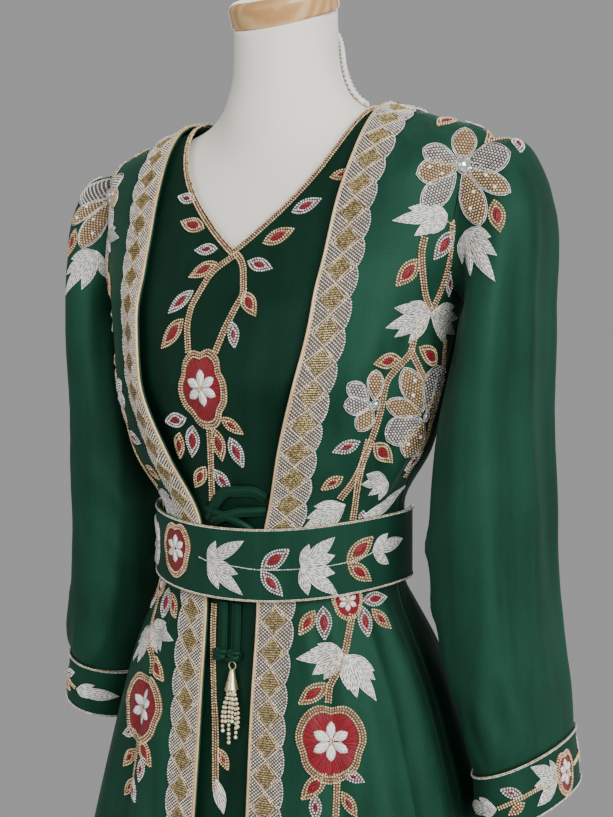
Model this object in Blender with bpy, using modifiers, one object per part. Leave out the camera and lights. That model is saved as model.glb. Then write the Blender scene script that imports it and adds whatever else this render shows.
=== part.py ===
"""Open beaded kaftan over a V-necked dress, tied and belted, on a limbless dress form.

Metres, +Z up. The front faces -Y and the wearer's left is +X. The origin is on the floor under the pole.
Cloth is laid out on a chart of the body: an angle in degrees (0 front, 90 wearer's left, 180 back) and a
level, which is a row number of the ring tables, 0 at the collar and growing down to the hem.
"""

import math
from collections import namedtuple

import bmesh
import bpy
import numpy as np
from mathutils import Matrix, Vector
from mathutils.bvhtree import BVHTree

# Cloth and seams
CLOTH = 0.0015
SEAM_GAP = 0.0003
LAY_GAP = 0.0008
FORM_IN = -0.0046
DRESS_OUT = 0.0012
ROBE_OUT = DRESS_OUT + CLOTH + 0.0021
SQUARENESS = 0.92

# Necklines, armholes and front edges
V_LEVEL = 2.35
V_CURVE = 0.95
COLLAR_LEVEL = 0.22
ROBE_COLLAR_LEVEL = 0.24
TIP_LEVEL = 2.0
ARMPIT_LEVEL = 4.0
DRESS_ARMHOLE_ANGLE = 26.0
ROBE_ARMHOLE_ANGLE = 22.0
ARMHOLE_ROWS = 8
PANEL_ROWS = np.linspace(0.0, 1.0, ARMHOLE_ROWS + 1) ** 1.6
V_SHARE = 0.5
BACK_NECK_SHARE = 0.4
LOWER_LEVELS = (4.7, 5.5, 6.3, 7.0, 8.0, 8.6, 9.3, 10.3, 11.6, 13.0)

# How far from a panel a point may be that is laid on it
PROBE = 0.04

# Trims
BORDER_WIDTH = 0.034
SCALLOP_DEPTH = 0.002
SCALLOP_PITCH = 0.024
EDGE_MARGIN = 0.0004
BORDER_THICK = 0.0018
BORDER_GAP = 0.0017
BACK_BORDER_ANGLES = (91.5, 268.5)
BACK_BORDER_COLUMNS = 26
NECK_TRIM_WIDTH = 0.009
NECK_TRIM_THICK = 0.002
TRIM_GAP = 0.0022
TRIM_SHORT = 1.5
BRAID_WIDTH = 0.009
BRAID_THICK = 0.003
BRAID_GAP = 0.0010
BRAID_ANGLES = (97.0, 263.0)
BRAID_LOW_LEVEL = -0.22
BRAID_TOP_LEVEL = -2.64
BRAID_ROUNDING = 0.45
CUFF_THICK = 0.0022
CUFF_GAP = 0.0008

# Belt and ties
BELT_LEVELS = (7.0, 7.5, 8.0)
BELT_THICK = 0.0028
BELT_OUT = ROBE_OUT + CLOTH + BORDER_GAP + BORDER_THICK + 0.0012
BELT_HALF_ANGLE = 108.0
STRAP_WIDTH = 0.016
STRAP_END_ANGLE = 0.4
TIE_WIDTH = 0.011
TIE_THICK = 0.0030
TIE_END_LEVELS = (8.10, 8.28, 8.46)
TIE_LOOP_WIDTH = 0.012
TIE_LOOP = ((-11.0, 6.86), (-6.0, 6.50), (2.0, 6.36), (9.0, 6.52), (12.0, 6.70))
TASSEL_TOP_Z = 0.935
TASSEL_LENGTH = 0.073
TASSEL_CONE = ((0.0, 0.0), (0.0018, -0.001), (0.0022, -0.006), (0.0050, -0.024), (0.0, -0.0245))
TASSEL_STRINGS = ((-0.0068, 0.010), (-0.0010, 0.000), (0.0058, 0.006))
STRING_ROOT = 0.020
TIE_X = {"left": 0.0045, "right": -0.0095}
KNOT_SIZE = (0.0070, 0.0042, 0.0045)
BEAD_RADIUS = 0.0029
BEADS_A_STRAND = 5

# Stand
CAP_RADIUS = 0.0535
CAP_THICK = 0.024
CAP_TILT = math.radians(24.0)
KNOB_RADIUS = 0.012
KNOB_TOP = ((0.0, 0.030), (0.007, 0.029), (KNOB_RADIUS, 0.023), (KNOB_RADIUS, 0.018), (0.007, 0.011))
KNOB_FOOT = ((0.007, 0.005), (0.014, 0.003), (0.014, 0.0), (0.0, 0.0))
POLE_RADIUS = 0.0140
BASE_RADIUS = 0.180
BASE_THICK = 0.022

Ring = namedtuple("Ring", "side_z front_z back_z half_width front back middle")
NECK_RINGS = (
    Ring(1.5405, 1.5175, 1.5625, 0.0530, 0.0560, 0.0560, 0.0040),
    Ring(1.5030, 1.4720, 1.5220, 0.0540, 0.0570, 0.0580, 0.0050),
    Ring(1.4720, 1.4300, 1.4870, 0.0640, 0.0680, 0.0600, 0.0110),
)
BODY_RINGS = (
    Ring(1.4520, 1.3970, 1.4660, 0.0860, 0.0780, 0.0620, 0.0180),
    Ring(1.4320, 1.3620, 1.4380, 0.1460, 0.0940, 0.0740, 0.0240),
    Ring(1.4080, 1.3250, 1.4020, 0.1960, 0.1110, 0.0820, 0.0260),
    Ring(1.3400, 1.2850, 1.3450, 0.1930, 0.1240, 0.0880, 0.0220),
    Ring(1.2680, 1.2450, 1.2800, 0.1700, 0.1340, 0.0900, 0.0140),
    Ring(1.2000, 1.1960, 1.2050, 0.1510, 0.1330, 0.0880, 0.0060),
    Ring(1.1350, 1.1250, 1.1400, 0.1320, 0.1080, 0.0830, 0.0000),
    Ring(1.0720, 1.0590, 1.0780, 0.1170, 0.0920, 0.0760, 0.0000),
    Ring(1.0060, 0.9930, 1.0120, 0.1170, 0.0920, 0.0780, 0.0000),
)
HIP_RINGS = (
    Ring(0.9400, 0.9350, 0.9420, 0.1300, 0.0930, 0.0920, 0.0000),
    Ring(0.8700, 0.8700, 0.8700, 0.1420, 0.0940, 0.1040, 0.0000),
    Ring(0.8100, 0.8100, 0.8100, 0.1380, 0.0900, 0.1000, 0.0000),
)
SKIRT_RINGS = (
    Ring(0.9000, 0.8950, 0.9020, 0.1500, 0.0980, 0.1180, 0.0000),
    Ring(0.7200, 0.7200, 0.7200, 0.1940, 0.1160, 0.1540, 0.0000),
    Ring(0.4700, 0.4700, 0.4700, 0.2420, 0.1660, 0.2000, 0.0000),
    Ring(0.2200, 0.2200, 0.2200, 0.2860, 0.2280, 0.2360, 0.0000),
    Ring(0.0350, 0.0350, 0.0350, 0.3140, 0.2755, 0.2585, 0.0000),
)

# How far the robe hangs outside the dress, and how deep its folds are, one row for each body and skirt ring
Ease = namedtuple("Ease", "side front back fold")
NECK_EASE = (Ease(0.003, 0.003, 0.003, 0.0),) * len(NECK_RINGS)
ROBE_EASE = (
    Ease(0.0030, 0.0030, 0.0030, 0.0000),
    Ease(0.0025, 0.0030, 0.0030, 0.0000),
    Ease(0.0020, 0.0020, 0.0020, 0.0000),
    Ease(0.0030, 0.0030, 0.0040, 0.0000),
    Ease(0.0050, 0.0040, 0.0060, 0.0020),
    Ease(0.0090, 0.0050, 0.0080, 0.0030),
    Ease(0.0110, 0.0070, 0.0090, 0.0040),
    Ease(0.0000, 0.0000, 0.0000, 0.0000),
    Ease(0.0000, 0.0000, 0.0000, 0.0000),
    Ease(0.0040, 0.0040, 0.0040, 0.0080),
    Ease(0.0050, 0.0050, 0.0050, 0.0140),
    Ease(0.0060, 0.0060, 0.0060, 0.0190),
    Ease(0.0060, 0.0060, 0.0060, 0.0230),
    Ease(0.0060, 0.0060, 0.0060, 0.0250),
)

# Soft folds of the robe on the wearer's left, mirrored on the right: where the crest is and how wide and high
Fold = namedtuple("Fold", "angle half_width height")
FOLDS = (
    Fold(27.0, 11.0, 0.70),
    Fold(50.0, 12.0, 1.00),
    Fold(73.0, 11.0, 0.75),
    Fold(99.0, 13.0, 0.95),
    Fold(125.0, 13.0, 0.80),
    Fold(151.0, 13.0, 1.00),
    Fold(180.0, 14.0, 0.75),
)

# How far each front edge of the robe is from the centre line, one value for each level
EDGE_X = (0.1080, 0.1010, 0.0960, 0.0930, 0.0880, 0.0780, 0.0560, 0.0330, 0.0260, 0.0260, 0.0280, 0.0300, 0.0320, 0.0330)

# Sleeve rings below the armhole: centre, half sizes outward and fore-and-aft, and how far the outer side is lifted
SleeveRing = namedtuple("SleeveRing", "x y z out fore tilt armhole")
SLEEVE_RINGS = (
    SleeveRing(0.2000, 0.0140, 1.3380, 0.0700, 0.0480, 84.0, 1.00),
    SleeveRing(0.2150, 0.0160, 1.3340, 0.0740, 0.0560, 72.0, 0.15),
    SleeveRing(0.2230, 0.0200, 1.2950, 0.0600, 0.0660, 56.0, 0.00),
    SleeveRing(0.2190, 0.0220, 1.2300, 0.0420, 0.0750, 36.0, 0.00),
    SleeveRing(0.2100, 0.0220, 1.1400, 0.0440, 0.0820, 18.0, 0.00),
    SleeveRing(0.2090, 0.0220, 1.0500, 0.0480, 0.0860, 8.0, 0.00),
    SleeveRing(0.2180, 0.0220, 0.9650, 0.0460, 0.0860, 8.0, 0.00),
    SleeveRing(0.2330, 0.0220, 0.9000, 0.0420, 0.0820, 16.0, 0.00),
    SleeveRing(0.2400, 0.0220, 0.8600, 0.0410, 0.0800, 24.0, 0.00),
)
CUFF_END = SleeveRing(0.2440, 0.0220, 0.8100, 0.0430, 0.0800, 24.0, 0.00)
SLEEVE_ROWS = 10

# How far each cuff hangs from where the rings put it, which the sleeve above it follows less and less
LEFT_HANG = (0.0, 0.0, 0.0)
RIGHT_HANG = (-0.006, 0.026, 0.028)
HANG_CURVE = 1.5

# Raised beaded flowers: the panel they lie on, where, their petals and size
Bloom = namedtuple("Bloom", "name panel angle level petals lobe radius height gap")
BLOOMS = (
    Bloom("bloom_dress_front", "dress_front", -6.0, 5.2, 4, 0.16, 0.028, 0.0028, 0.0008),
    Bloom("bloom_shoulder_left", "robe_front_left", 60.0, 1.9, 7, 0.22, 0.031, 0.0028, 0.0013),
    Bloom("bloom_shoulder_right", "robe_front_right", -60.0, 1.9, 7, 0.22, 0.031, 0.0028, 0.0013),
    Bloom("bloom_chest_left", "robe_front_left", 64.0, 5.3, 5, 0.22, 0.027, 0.0028, 0.0009),
    Bloom("bloom_chest_right", "robe_front_right", -64.0, 5.3, 5, 0.22, 0.027, 0.0028, 0.0009),
    Bloom("bloom_skirt_left", "robe_front_left", 35.0, 9.13, 3, 0.12, 0.029, 0.0028, 0.0018),
    Bloom("bloom_skirt_right", "robe_front_right", -35.0, 9.13, 3, 0.12, 0.029, 0.0028, 0.0013),
)
BLOOM_STEPS = 4
BLOOM_RINGS = (0.0, 0.4, 0.75, 1.0)
BLOOM_CROWN = 0.55

Finish = namedtuple("Finish", "color roughness metallic")
FINISHES = {
    "green_georgette": Finish((0.012, 0.075, 0.040), 0.55, 0.0),
    "green_satin": Finish((0.010, 0.060, 0.032), 0.45, 0.0),
    "silver_beads": Finish((0.62, 0.58, 0.50), 0.35, 0.5),
    "gold_beads": Finish((0.50, 0.36, 0.17), 0.35, 0.6),
    "red_thread": Finish((0.42, 0.02, 0.04), 0.55, 0.0),
    "form_jersey": Finish((0.75, 0.72, 0.63), 0.85, 0.0),
    "cap_wood": Finish((0.56, 0.34, 0.16), 0.45, 0.0),
    "stand_metal": Finish((0.05, 0.05, 0.055), 0.35, 0.9),
}

PARTS = "kaftan_on_dress_form"


def clear_scene():
    """An empty scene with one collection for the parts."""
    for obj in list(bpy.data.objects):
        bpy.data.objects.remove(obj)
    collection = bpy.data.collections.new(PARTS)
    bpy.context.scene.collection.children.link(collection)
    return collection


def make_materials():
    """One Principled material for each finish."""
    made = {}
    for name, finish in FINISHES.items():
        material = bpy.data.materials.new(name)
        material.use_nodes = True
        shader = material.node_tree.nodes["Principled BSDF"]
        shader.inputs["Base Color"].default_value = (*finish.color, 1.0)
        shader.inputs["Roughness"].default_value = finish.roughness
        shader.inputs["Metallic"].default_value = finish.metallic
        made[name] = material
    return made


def smooth_table(rows, at):
    """Each column of rows read at the row numbers in at, through a curve that never overshoots."""
    rows = np.asarray(rows, float)
    at = np.clip(np.asarray(at, float), 0.0, len(rows) - 1.0)
    step = np.diff(rows, axis=0)
    slope = np.zeros_like(rows)
    product = step[:-1] * step[1:]
    total = step[:-1] + step[1:]
    slope[1:-1] = np.where(product > 0, 2 * product / np.where(total == 0, 1, total), 0)
    slope[0], slope[-1] = step[0], step[-1]
    low = np.minimum(at.astype(int), len(rows) - 2)
    share = (at - low)[..., None]
    a, b, da, db = rows[low], rows[low + 1], slope[low], slope[low + 1]
    ease = share * share * (3 - 2 * share)
    lead = share * (1 - share) ** 2
    lag = share * share * (1 - share)
    return a + (b - a) * ease + da * lead - db * lag


class Body:
    """A surface round the body, given by rings and addressed by angle and level."""

    def __init__(self, rings, first_level=0.0, ease=None):
        self.first = first_level
        sizes = np.array(rings)
        extra = np.zeros((len(rings), 4)) if ease is None else np.array(ease)
        sizes[:, 3:6] += extra[:, 0:3]
        self.sizes = np.column_stack([sizes, extra[:, 3]])

    def values(self, level):
        return smooth_table(self.sizes, np.asarray(level, float) - self.first)

    def place(self, angle, level):
        """Points of the surface itself."""
        angle, level = np.broadcast_arrays(np.asarray(angle, float), np.asarray(level, float))
        side_z, front_z, back_z, half_width, front, back, middle, fold = np.moveaxis(self.values(level), -1, 0)
        turn = np.radians(angle)
        across, along = np.sin(turn), np.cos(turn)
        grown = fold * fold_height(angle)
        x = (half_width + grown) * np.sign(across) * np.abs(across) ** SQUARENESS
        depth = np.where(along > 0, front, back) + grown
        y = middle - depth * np.sign(along) * np.abs(along) ** SQUARENESS
        z = side_z + (np.where(along > 0, front_z, back_z) - side_z) * along**2
        return np.stack([x, y, z], -1)

    def normal(self, angle, level):
        """Outward unit normals, from neighbouring points."""
        angle, level = np.broadcast_arrays(np.asarray(angle, float), np.asarray(level, float))
        turn, drop = 1.0, 0.02
        round_it = self.place(angle + turn, level) - self.place(angle - turn, level)
        down = self.place(angle, level + drop) - self.place(angle, level - drop)
        found = np.cross(down, round_it)
        return found / np.linalg.norm(found, axis=-1, keepdims=True)

    def at(self, angle, level, out=0.0):
        """Points moved out from the surface by a distance."""
        return self.place(angle, level) + self.normal(angle, level) * out

    def reach(self, angle, level):
        """How far from the centre line the ring is at an angle up to 90, without its folds."""
        return self.values(level)[..., 3] * np.sin(np.radians(angle)) ** SQUARENESS

    def angle_of(self, x, level):
        """The angle at which the ring is x from the centre line."""
        share = np.clip(np.asarray(x) / self.values(level)[..., 3], 0.0, 1.0)
        return np.degrees(np.arcsin(share ** (1 / SQUARENESS)))


def fold_height(angle):
    """How far the folds stand out at an angle, from 0 in the troughs to about 1 on a crest."""
    around = np.abs((np.asarray(angle, float) + 180.0) % 360.0 - 180.0)
    height = np.zeros_like(around)
    for fold in FOLDS:
        reach = np.clip(np.abs(around - fold.angle) / fold.half_width, 0.0, 1.0)
        height = np.maximum(height, fold.height * np.cos(reach * math.pi / 2) ** 2)
    return height


NECK_LEVEL = -float(len(NECK_RINGS))
FORM = Body(NECK_RINGS + BODY_RINGS + HIP_RINGS, NECK_LEVEL)
DRESS = Body(NECK_RINGS + BODY_RINGS + SKIRT_RINGS, NECK_LEVEL)
ROBE = Body(NECK_RINGS + BODY_RINGS + SKIRT_RINGS, NECK_LEVEL, NECK_EASE + ROBE_EASE)


def armhole(share, half_angle):
    """Chart points of an armhole's front edge, from the shoulder tip at 0 to the armpit at 1."""
    share = np.asarray(share, float)
    angle = 90.0 - half_angle * np.sqrt(np.clip(np.sin(math.pi * share), 0.0, 1.0))
    return np.stack([angle, TIP_LEVEL + (ARMPIT_LEVEL - TIP_LEVEL) * share], -1)


def seam(start_level, share):
    """Chart points of the shoulder seam, from the neck at 0 to the shoulder tip at 1."""
    level = start_level + (TIP_LEVEL - start_level) * np.asarray(share, float)
    return np.stack([np.full_like(level, 90.0), level], -1)


def straight(start, end, share):
    """Chart points on a line."""
    share = np.asarray(share, float)[..., None]
    return np.asarray(start, float) * (1 - share) + np.asarray(end, float) * share


def patch(body, top, bottom, near, far, across, down):
    """Chart points of a patch with four curved sides, each a function of a share from 0 to 1.

    The sides are blended by how far out they lie and by level, so that columns hang from the shoulder seam.
    """
    def laid(side):
        def spread(share):
            chart = side(share)
            return np.stack([body.reach(chart[..., 0], chart[..., 1]), chart[..., 1]], -1)

        return spread

    top, bottom, near, far = (laid(side) for side in (top, bottom, near, far))
    u, v = np.meshgrid(across, down)
    rows = top(u) * (1 - v[..., None]) + bottom(u) * v[..., None]
    columns = near(v) * (1 - u[..., None]) + far(v) * u[..., None]
    upper = top(np.zeros(1)) * (1 - u[..., None]) + top(np.ones(1)) * u[..., None]
    lower = bottom(np.zeros(1)) * (1 - u[..., None]) + bottom(np.ones(1)) * u[..., None]
    blend = rows + columns - upper * (1 - v[..., None]) - lower * v[..., None]
    return np.stack([body.angle_of(blend[..., 0], blend[..., 1]), blend[..., 1]], -1)


def edge_angle(level):
    """The angle of the robe's front edge at a level."""
    x = smooth_table(np.array(EDGE_X)[:, None], level)[..., 0]
    return ROBE.angle_of(x, level)


def robe_front_chart(across):
    """Chart rows of the wearer's left robe front, from its edge to the armhole and side seam."""

    def edge(share):
        level = ROBE_COLLAR_LEVEL + (ARMPIT_LEVEL - ROBE_COLLAR_LEVEL) * np.asarray(share, float)
        return np.stack([edge_angle(level), level], -1)

    upper = patch(
        ROBE,
        lambda u: seam(ROBE_COLLAR_LEVEL, u),
        lambda u: straight(edge(1.0), (90.0, ARMPIT_LEVEL), u),
        edge,
        lambda v: armhole(v, ROBE_ARMHOLE_ANGLE),
        across,
        PANEL_ROWS,
    )
    lower = [straight((float(edge_angle(level)), level), (90.0, level), across) for level in LOWER_LEVELS]
    return np.concatenate([upper, np.array(lower)])


def dress_front_chart(across):
    """Chart rows of the left half of the dress front, from the centre to the armhole and side seam."""
    neck_x = DRESS.values(COLLAR_LEVEL)[3]

    def top(u):
        u = np.asarray(u, float)
        climb = 1.0 - (1.0 - np.clip(u / V_SHARE, 0.0, 1.0)) ** 2
        level = V_LEVEL + (COLLAR_LEVEL - V_LEVEL) * climb
        v_edge = np.stack([DRESS.angle_of(neck_x * climb**V_CURVE, level), level], -1)
        shoulder = seam(COLLAR_LEVEL, np.clip((u - V_SHARE) / (1 - V_SHARE), 0.0, 1.0))
        return np.where((u >= V_SHARE)[..., None], shoulder, v_edge)

    upper = patch(
        DRESS,
        top,
        lambda u: straight((0.0, ARMPIT_LEVEL), (90.0, ARMPIT_LEVEL), u),
        lambda v: straight((0.0, V_LEVEL), (0.0, ARMPIT_LEVEL), v),
        lambda v: armhole(v, DRESS_ARMHOLE_ANGLE),
        across,
        PANEL_ROWS,
    )
    lower = [straight((0.0, level), (90.0, level), across) for level in LOWER_LEVELS]
    return np.concatenate([upper, np.array(lower)])


def back_chart(body, across, armhole_angle, collar_level):
    """Chart rows of the left half of a back, from the centre back to the armhole and side seam."""

    def top(u):
        u = np.asarray(u, float)
        neck = straight((0.0, collar_level), (90.0, collar_level), np.clip(u / BACK_NECK_SHARE, 0.0, 1.0))
        shoulder = seam(collar_level, np.clip((u - BACK_NECK_SHARE) / (1 - BACK_NECK_SHARE), 0.0, 1.0))
        return np.where((u >= BACK_NECK_SHARE)[..., None], shoulder, neck)

    upper = patch(
        body,
        top,
        lambda u: straight((0.0, ARMPIT_LEVEL), (90.0, ARMPIT_LEVEL), u),
        lambda v: straight((0.0, collar_level), (0.0, ARMPIT_LEVEL), v),
        lambda v: armhole(v, armhole_angle),
        across,
        PANEL_ROWS,
    )
    lower = [straight((0.0, level), (90.0, level), across) for level in LOWER_LEVELS]
    chart = np.concatenate([upper, np.array(lower)])
    chart[..., 0] = 180.0 - chart[..., 0]
    return chart


def row_lengths(points):
    """Length along each row of points, from its first."""
    steps = np.linalg.norm(np.diff(points, axis=1), axis=-1)
    return np.concatenate([np.zeros((len(points), 1)), np.cumsum(steps, axis=1)], axis=1)


def robe_front_points(columns):
    """Rows of robe front points whose first columns stay a set distance from the edge, for the border."""
    chart = robe_front_chart(np.linspace(0, 1, 121))
    lengths = row_lengths(ROBE.at(chart[..., 0], chart[..., 1], ROBE_OUT))
    border = BORDER_WIDTH + SCALLOP_DEPTH
    angle, level = [], []
    for row, length in zip(chart, lengths):
        wanted = np.concatenate([[0.0], np.linspace(border, length[-1], columns - 1)])
        angle.append(np.interp(wanted, length, row[:, 0]))
        level.append(np.interp(wanted, length, row[:, 1]))
    return panel_points(ROBE, np.array(angle), np.array(level), ROBE_OUT, -1)


def panel_points(body, angle, level, out, side):
    """Points of a panel, half a gap off the shoulder and side seams; side is -1 for a front, 1 for a back."""
    points = body.at(angle, level, out)
    points[..., 1] += np.where(np.abs(angle - 90.0) < 0.01, side * SEAM_GAP / 2, 0.0)
    points[..., 0] = np.where(np.abs(angle % 180.0) < 0.01, 0.0, points[..., 0])
    return points


def whole(half):
    """A full panel from its left half, whose first column lies on the centre line."""
    mirrored = half[:, :0:-1] * np.array([-1.0, 1.0, 1.0])
    return np.concatenate([mirrored, half], axis=1)


def grid_mesh(name, points, closed=False):
    """A mesh of quads through a grid of points, rows running down and columns towards growing angle."""
    rows, columns = points.shape[:2]
    mesh = bpy.data.meshes.new(name)
    bm = bmesh.new()
    bmesh.ops.create_grid(bm, x_segments=columns - 1, y_segments=rows - 1, size=1.0)
    for vert in bm.verts:
        column = round((vert.co.x + 1) / 2 * (columns - 1))
        row = round((1 - vert.co.y) / 2 * (rows - 1))
        vert.co = points[row, column]
    if closed:
        bmesh.ops.remove_doubles(bm, verts=bm.verts, dist=1e-6)
    bm.to_mesh(mesh)
    bm.free()
    return mesh


def add_object(name, mesh, finish):
    """An object of the parts' collection with one material."""
    obj = bpy.data.objects.new(name, mesh)
    mesh.materials.append(bpy.data.materials[finish])
    mesh.shade_smooth()
    bpy.data.collections[PARTS].objects.link(obj)
    return obj


def adopt(obj, name, finish):
    """Names a primitive, gives it a material and moves it to the parts' collection."""
    obj.name = name
    obj.data.materials.append(bpy.data.materials[finish])
    for collection in list(obj.users_collection):
        collection.objects.unlink(obj)
    bpy.data.collections[PARTS].objects.link(obj)
    return obj


def cloth_object(name, points, thickness, finish, closed=False):
    """A wall of cloth that grows outward from a grid of points on its inner side."""
    obj = add_object(name, grid_mesh(name, points, closed), finish)
    wall = obj.modifiers.new("wall", "SOLIDIFY")
    wall.thickness = thickness
    wall.offset = 1.0
    split = obj.modifiers.new("split", "TRIANGULATE")
    split.quad_method = "FIXED"
    return obj


def evaluated_mesh(obj):
    """The object's mesh with its modifiers."""
    graph = bpy.context.evaluated_depsgraph_get()
    return bpy.data.meshes.new_from_object(obj.evaluated_get(graph))


def surface_of(obj):
    """A tree of an object's faces, for laying things on it."""
    mesh = evaluated_mesh(obj)
    bm = bmesh.new()
    bm.from_mesh(mesh)
    tree = BVHTree.FromBMesh(bm)
    bm.free()
    return tree


def laid_on(tree, point, normal, out):
    """The point of a panel's outer side under a point, moved out along the normal."""
    normal = Vector(normal).normalized()
    hit, _, _, _ = tree.ray_cast(Vector(point) + normal * PROBE, -normal, 2 * PROBE)
    start = hit if hit is not None else Vector(point) + normal * CLOTH
    return start + normal * out


def neck_plane(y):
    """Height of the slanted plane that the neck is cut off at."""
    top = NECK_RINGS[0]
    return top.front_z + (y - top.middle + top.front) * math.tan(CAP_TILT)


# Where the padded form has its rows, closest where the neck runs out into the shoulders
TORSO_LEVELS = (
    *np.linspace(NECK_LEVEL, -0.6, 5),
    *(-0.2, 0.1, 0.35, 0.6, 0.9, 1.4, 2.0, 2.5, 3.0),
    *(3.6, 4.3, 5.0, 6.0, 7.0, 8.0, 9.0, 10.0, 11.0),
)


def build_torso():
    """The padded form, from the slanted neck top to the flat seat."""
    angle, level = np.meshgrid(np.linspace(-180, 180, 33), TORSO_LEVELS)
    points = FORM.at(angle, level, FORM_IN)
    points[0, :, 2] = neck_plane(points[0, :, 1])
    mesh = grid_mesh("form_torso", points, closed=True)
    bm = bmesh.new()
    bm.from_mesh(mesh)
    bmesh.ops.holes_fill(bm, edges=[edge for edge in bm.edges if edge.is_boundary])
    bm.to_mesh(mesh)
    bm.free()
    return add_object("form_torso", mesh, "form_jersey")


def turned(name, profile, finish, steps=32):
    """A shape turned round Z from points that run down its outer side."""
    mesh = bpy.data.meshes.new(name)
    bm = bmesh.new()
    verts = [bm.verts.new((radius, 0.0, z)) for radius, z in profile]
    for upper, lower in zip(verts, verts[1:]):
        bm.edges.new((upper, lower))
    bm.to_mesh(mesh)
    bm.free()
    obj = add_object(name, mesh, finish)
    screw = obj.modifiers.new("turn", "SCREW")
    screw.steps = screw.render_steps = steps
    screw.use_merge_vertices = True
    screw.merge_threshold = 0.00005
    return obj


def rounded_disc(radius, thickness, rounding):
    """Profile of a disc that stands on z 0, with a rounded upper edge and a small lower one."""
    points = [(0.0, thickness)]
    for step in range(5):
        turn = step * math.pi / 8
        points.append((radius - rounding + rounding * math.sin(turn), thickness - rounding + rounding * math.cos(turn)))
    lower = rounding / 3
    for step in range(3):
        turn = step * math.pi / 4
        points.append((radius - lower + lower * math.cos(turn), lower - lower * math.sin(turn)))
    return points + [(0.0, 0.0)]


def build_stand():
    """Neck cap with its knob, pole and round base."""
    middle = NECK_RINGS[0].middle + (NECK_RINGS[0].back - NECK_RINGS[0].front) / 2
    centre = Vector((0.0, middle, neck_plane(middle)))
    tilt = Matrix.Rotation(CAP_TILT, 3, "X")
    lift = tilt @ Vector((0.0, 0.0, 1.0))
    cap = turned("form_neck_cap", rounded_disc(CAP_RADIUS, CAP_THICK, 0.008), "cap_wood", steps=24)
    cap.rotation_euler = (CAP_TILT, 0.0, 0.0)
    cap.location = centre + lift * SEAM_GAP
    knob = turned("form_neck_knob", KNOB_TOP + KNOB_FOOT, "stand_metal", steps=14)
    knob.rotation_euler = (CAP_TILT, 0.0, 0.0)
    knob.location = cap.location + lift * (CAP_THICK + SEAM_GAP)
    seat_z = HIP_RINGS[-1].side_z
    bpy.ops.mesh.primitive_cylinder_add(vertices=24, radius=POLE_RADIUS, depth=seat_z - BASE_THICK - 2 * SEAM_GAP)
    pole = adopt(bpy.context.object, "stand_pole", "stand_metal")
    pole.location = (0.0, 0.0, (seat_z + BASE_THICK) / 2)
    turned("stand_base", rounded_disc(BASE_RADIUS, BASE_THICK, 0.006), "stand_metal", steps=30)


def build_dress():
    """The V-necked dress under the robe, front and back. Returns the left half of the front and its chart."""
    front = dress_front_chart(np.linspace(0, 1, 11))
    front_half = panel_points(DRESS, front[..., 0], front[..., 1], DRESS_OUT, -1)
    cloth_object("dress_front", whole(front_half), CLOTH, "green_satin")
    back = back_chart(DRESS, np.linspace(0, 1, 9), DRESS_ARMHOLE_ANGLE, COLLAR_LEVEL)
    back_half = panel_points(DRESS, back[..., 0], back[..., 1], DRESS_OUT, 1)
    cloth_object("dress_back", whole(back_half)[:, ::-1], CLOTH, "green_satin")
    return front_half, front


def build_robe():
    """The open robe: two fronts and a back. Returns the points of the left front."""
    front = robe_front_points(12)
    cloth_object("robe_front_left", front, CLOTH, "green_georgette")
    cloth_object("robe_front_right", mirror_side(front), CLOTH, "green_georgette")
    back = back_chart(ROBE, np.linspace(0, 1, 13), ROBE_ARMHOLE_ANGLE, ROBE_COLLAR_LEVEL)
    back_half = panel_points(ROBE, back[..., 0], back[..., 1], ROBE_OUT, 1)
    cloth_object("robe_back", whole(back_half)[:, ::-1], CLOTH, "green_georgette")
    return front


def mirror_side(points):
    """The same grid on the wearer's other side, its columns turned round so that it still faces out."""
    return points[:, ::-1] * np.array([-1.0, 1.0, 1.0])


def panel_reader(points):
    """A function that gives a panel's point and normal at a distance from its edge and a row number."""
    lengths = row_lengths(points)
    down = np.cross(np.gradient(points, axis=0), np.gradient(points, axis=1))
    normals = down / np.linalg.norm(down, axis=-1, keepdims=True)

    def read(distance, row):
        low = min(int(row), len(points) - 2)
        share = row - low
        spots, faces = [], []
        for index in (low, low + 1):
            spots.append([np.interp(distance, lengths[index], points[index, :, axis]) for axis in range(3)])
            faces.append([np.interp(distance, lengths[index], normals[index, :, axis]) for axis in range(3)])
        blend = np.array([1 - share, share])
        return blend @ np.array(spots), blend @ np.array(faces)

    return read


def build_borders(front):
    """Scalloped beaded borders down both front edges and round the back of the neck."""
    read = panel_reader(front)
    tree = surface_of(bpy.data.objects["robe_front_left"])
    edge_steps = np.linalg.norm(np.diff(front[:, 0], axis=0), axis=-1)
    run = np.concatenate([[0.0], np.cumsum(edge_steps)])
    waves = round(run[-1] / SCALLOP_PITCH)
    stations = np.linspace(0.0, run[-1], 2 * waves + 1)
    row_at = np.interp(stations, run, np.arange(len(run)))
    grid = []
    for number, row in enumerate(row_at):
        reach = BORDER_WIDTH + SCALLOP_DEPTH * (1 if number % 2 else -1)
        grid.append([laid_on(tree, *read(distance, row), BORDER_GAP) for distance in (EDGE_MARGIN, reach)])
    points = np.array(grid)
    cloth_object("border_left", points, BORDER_THICK, "silver_beads")
    cloth_object("border_right", mirror_side(points), BORDER_THICK, "silver_beads")
    build_back_border()


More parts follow.
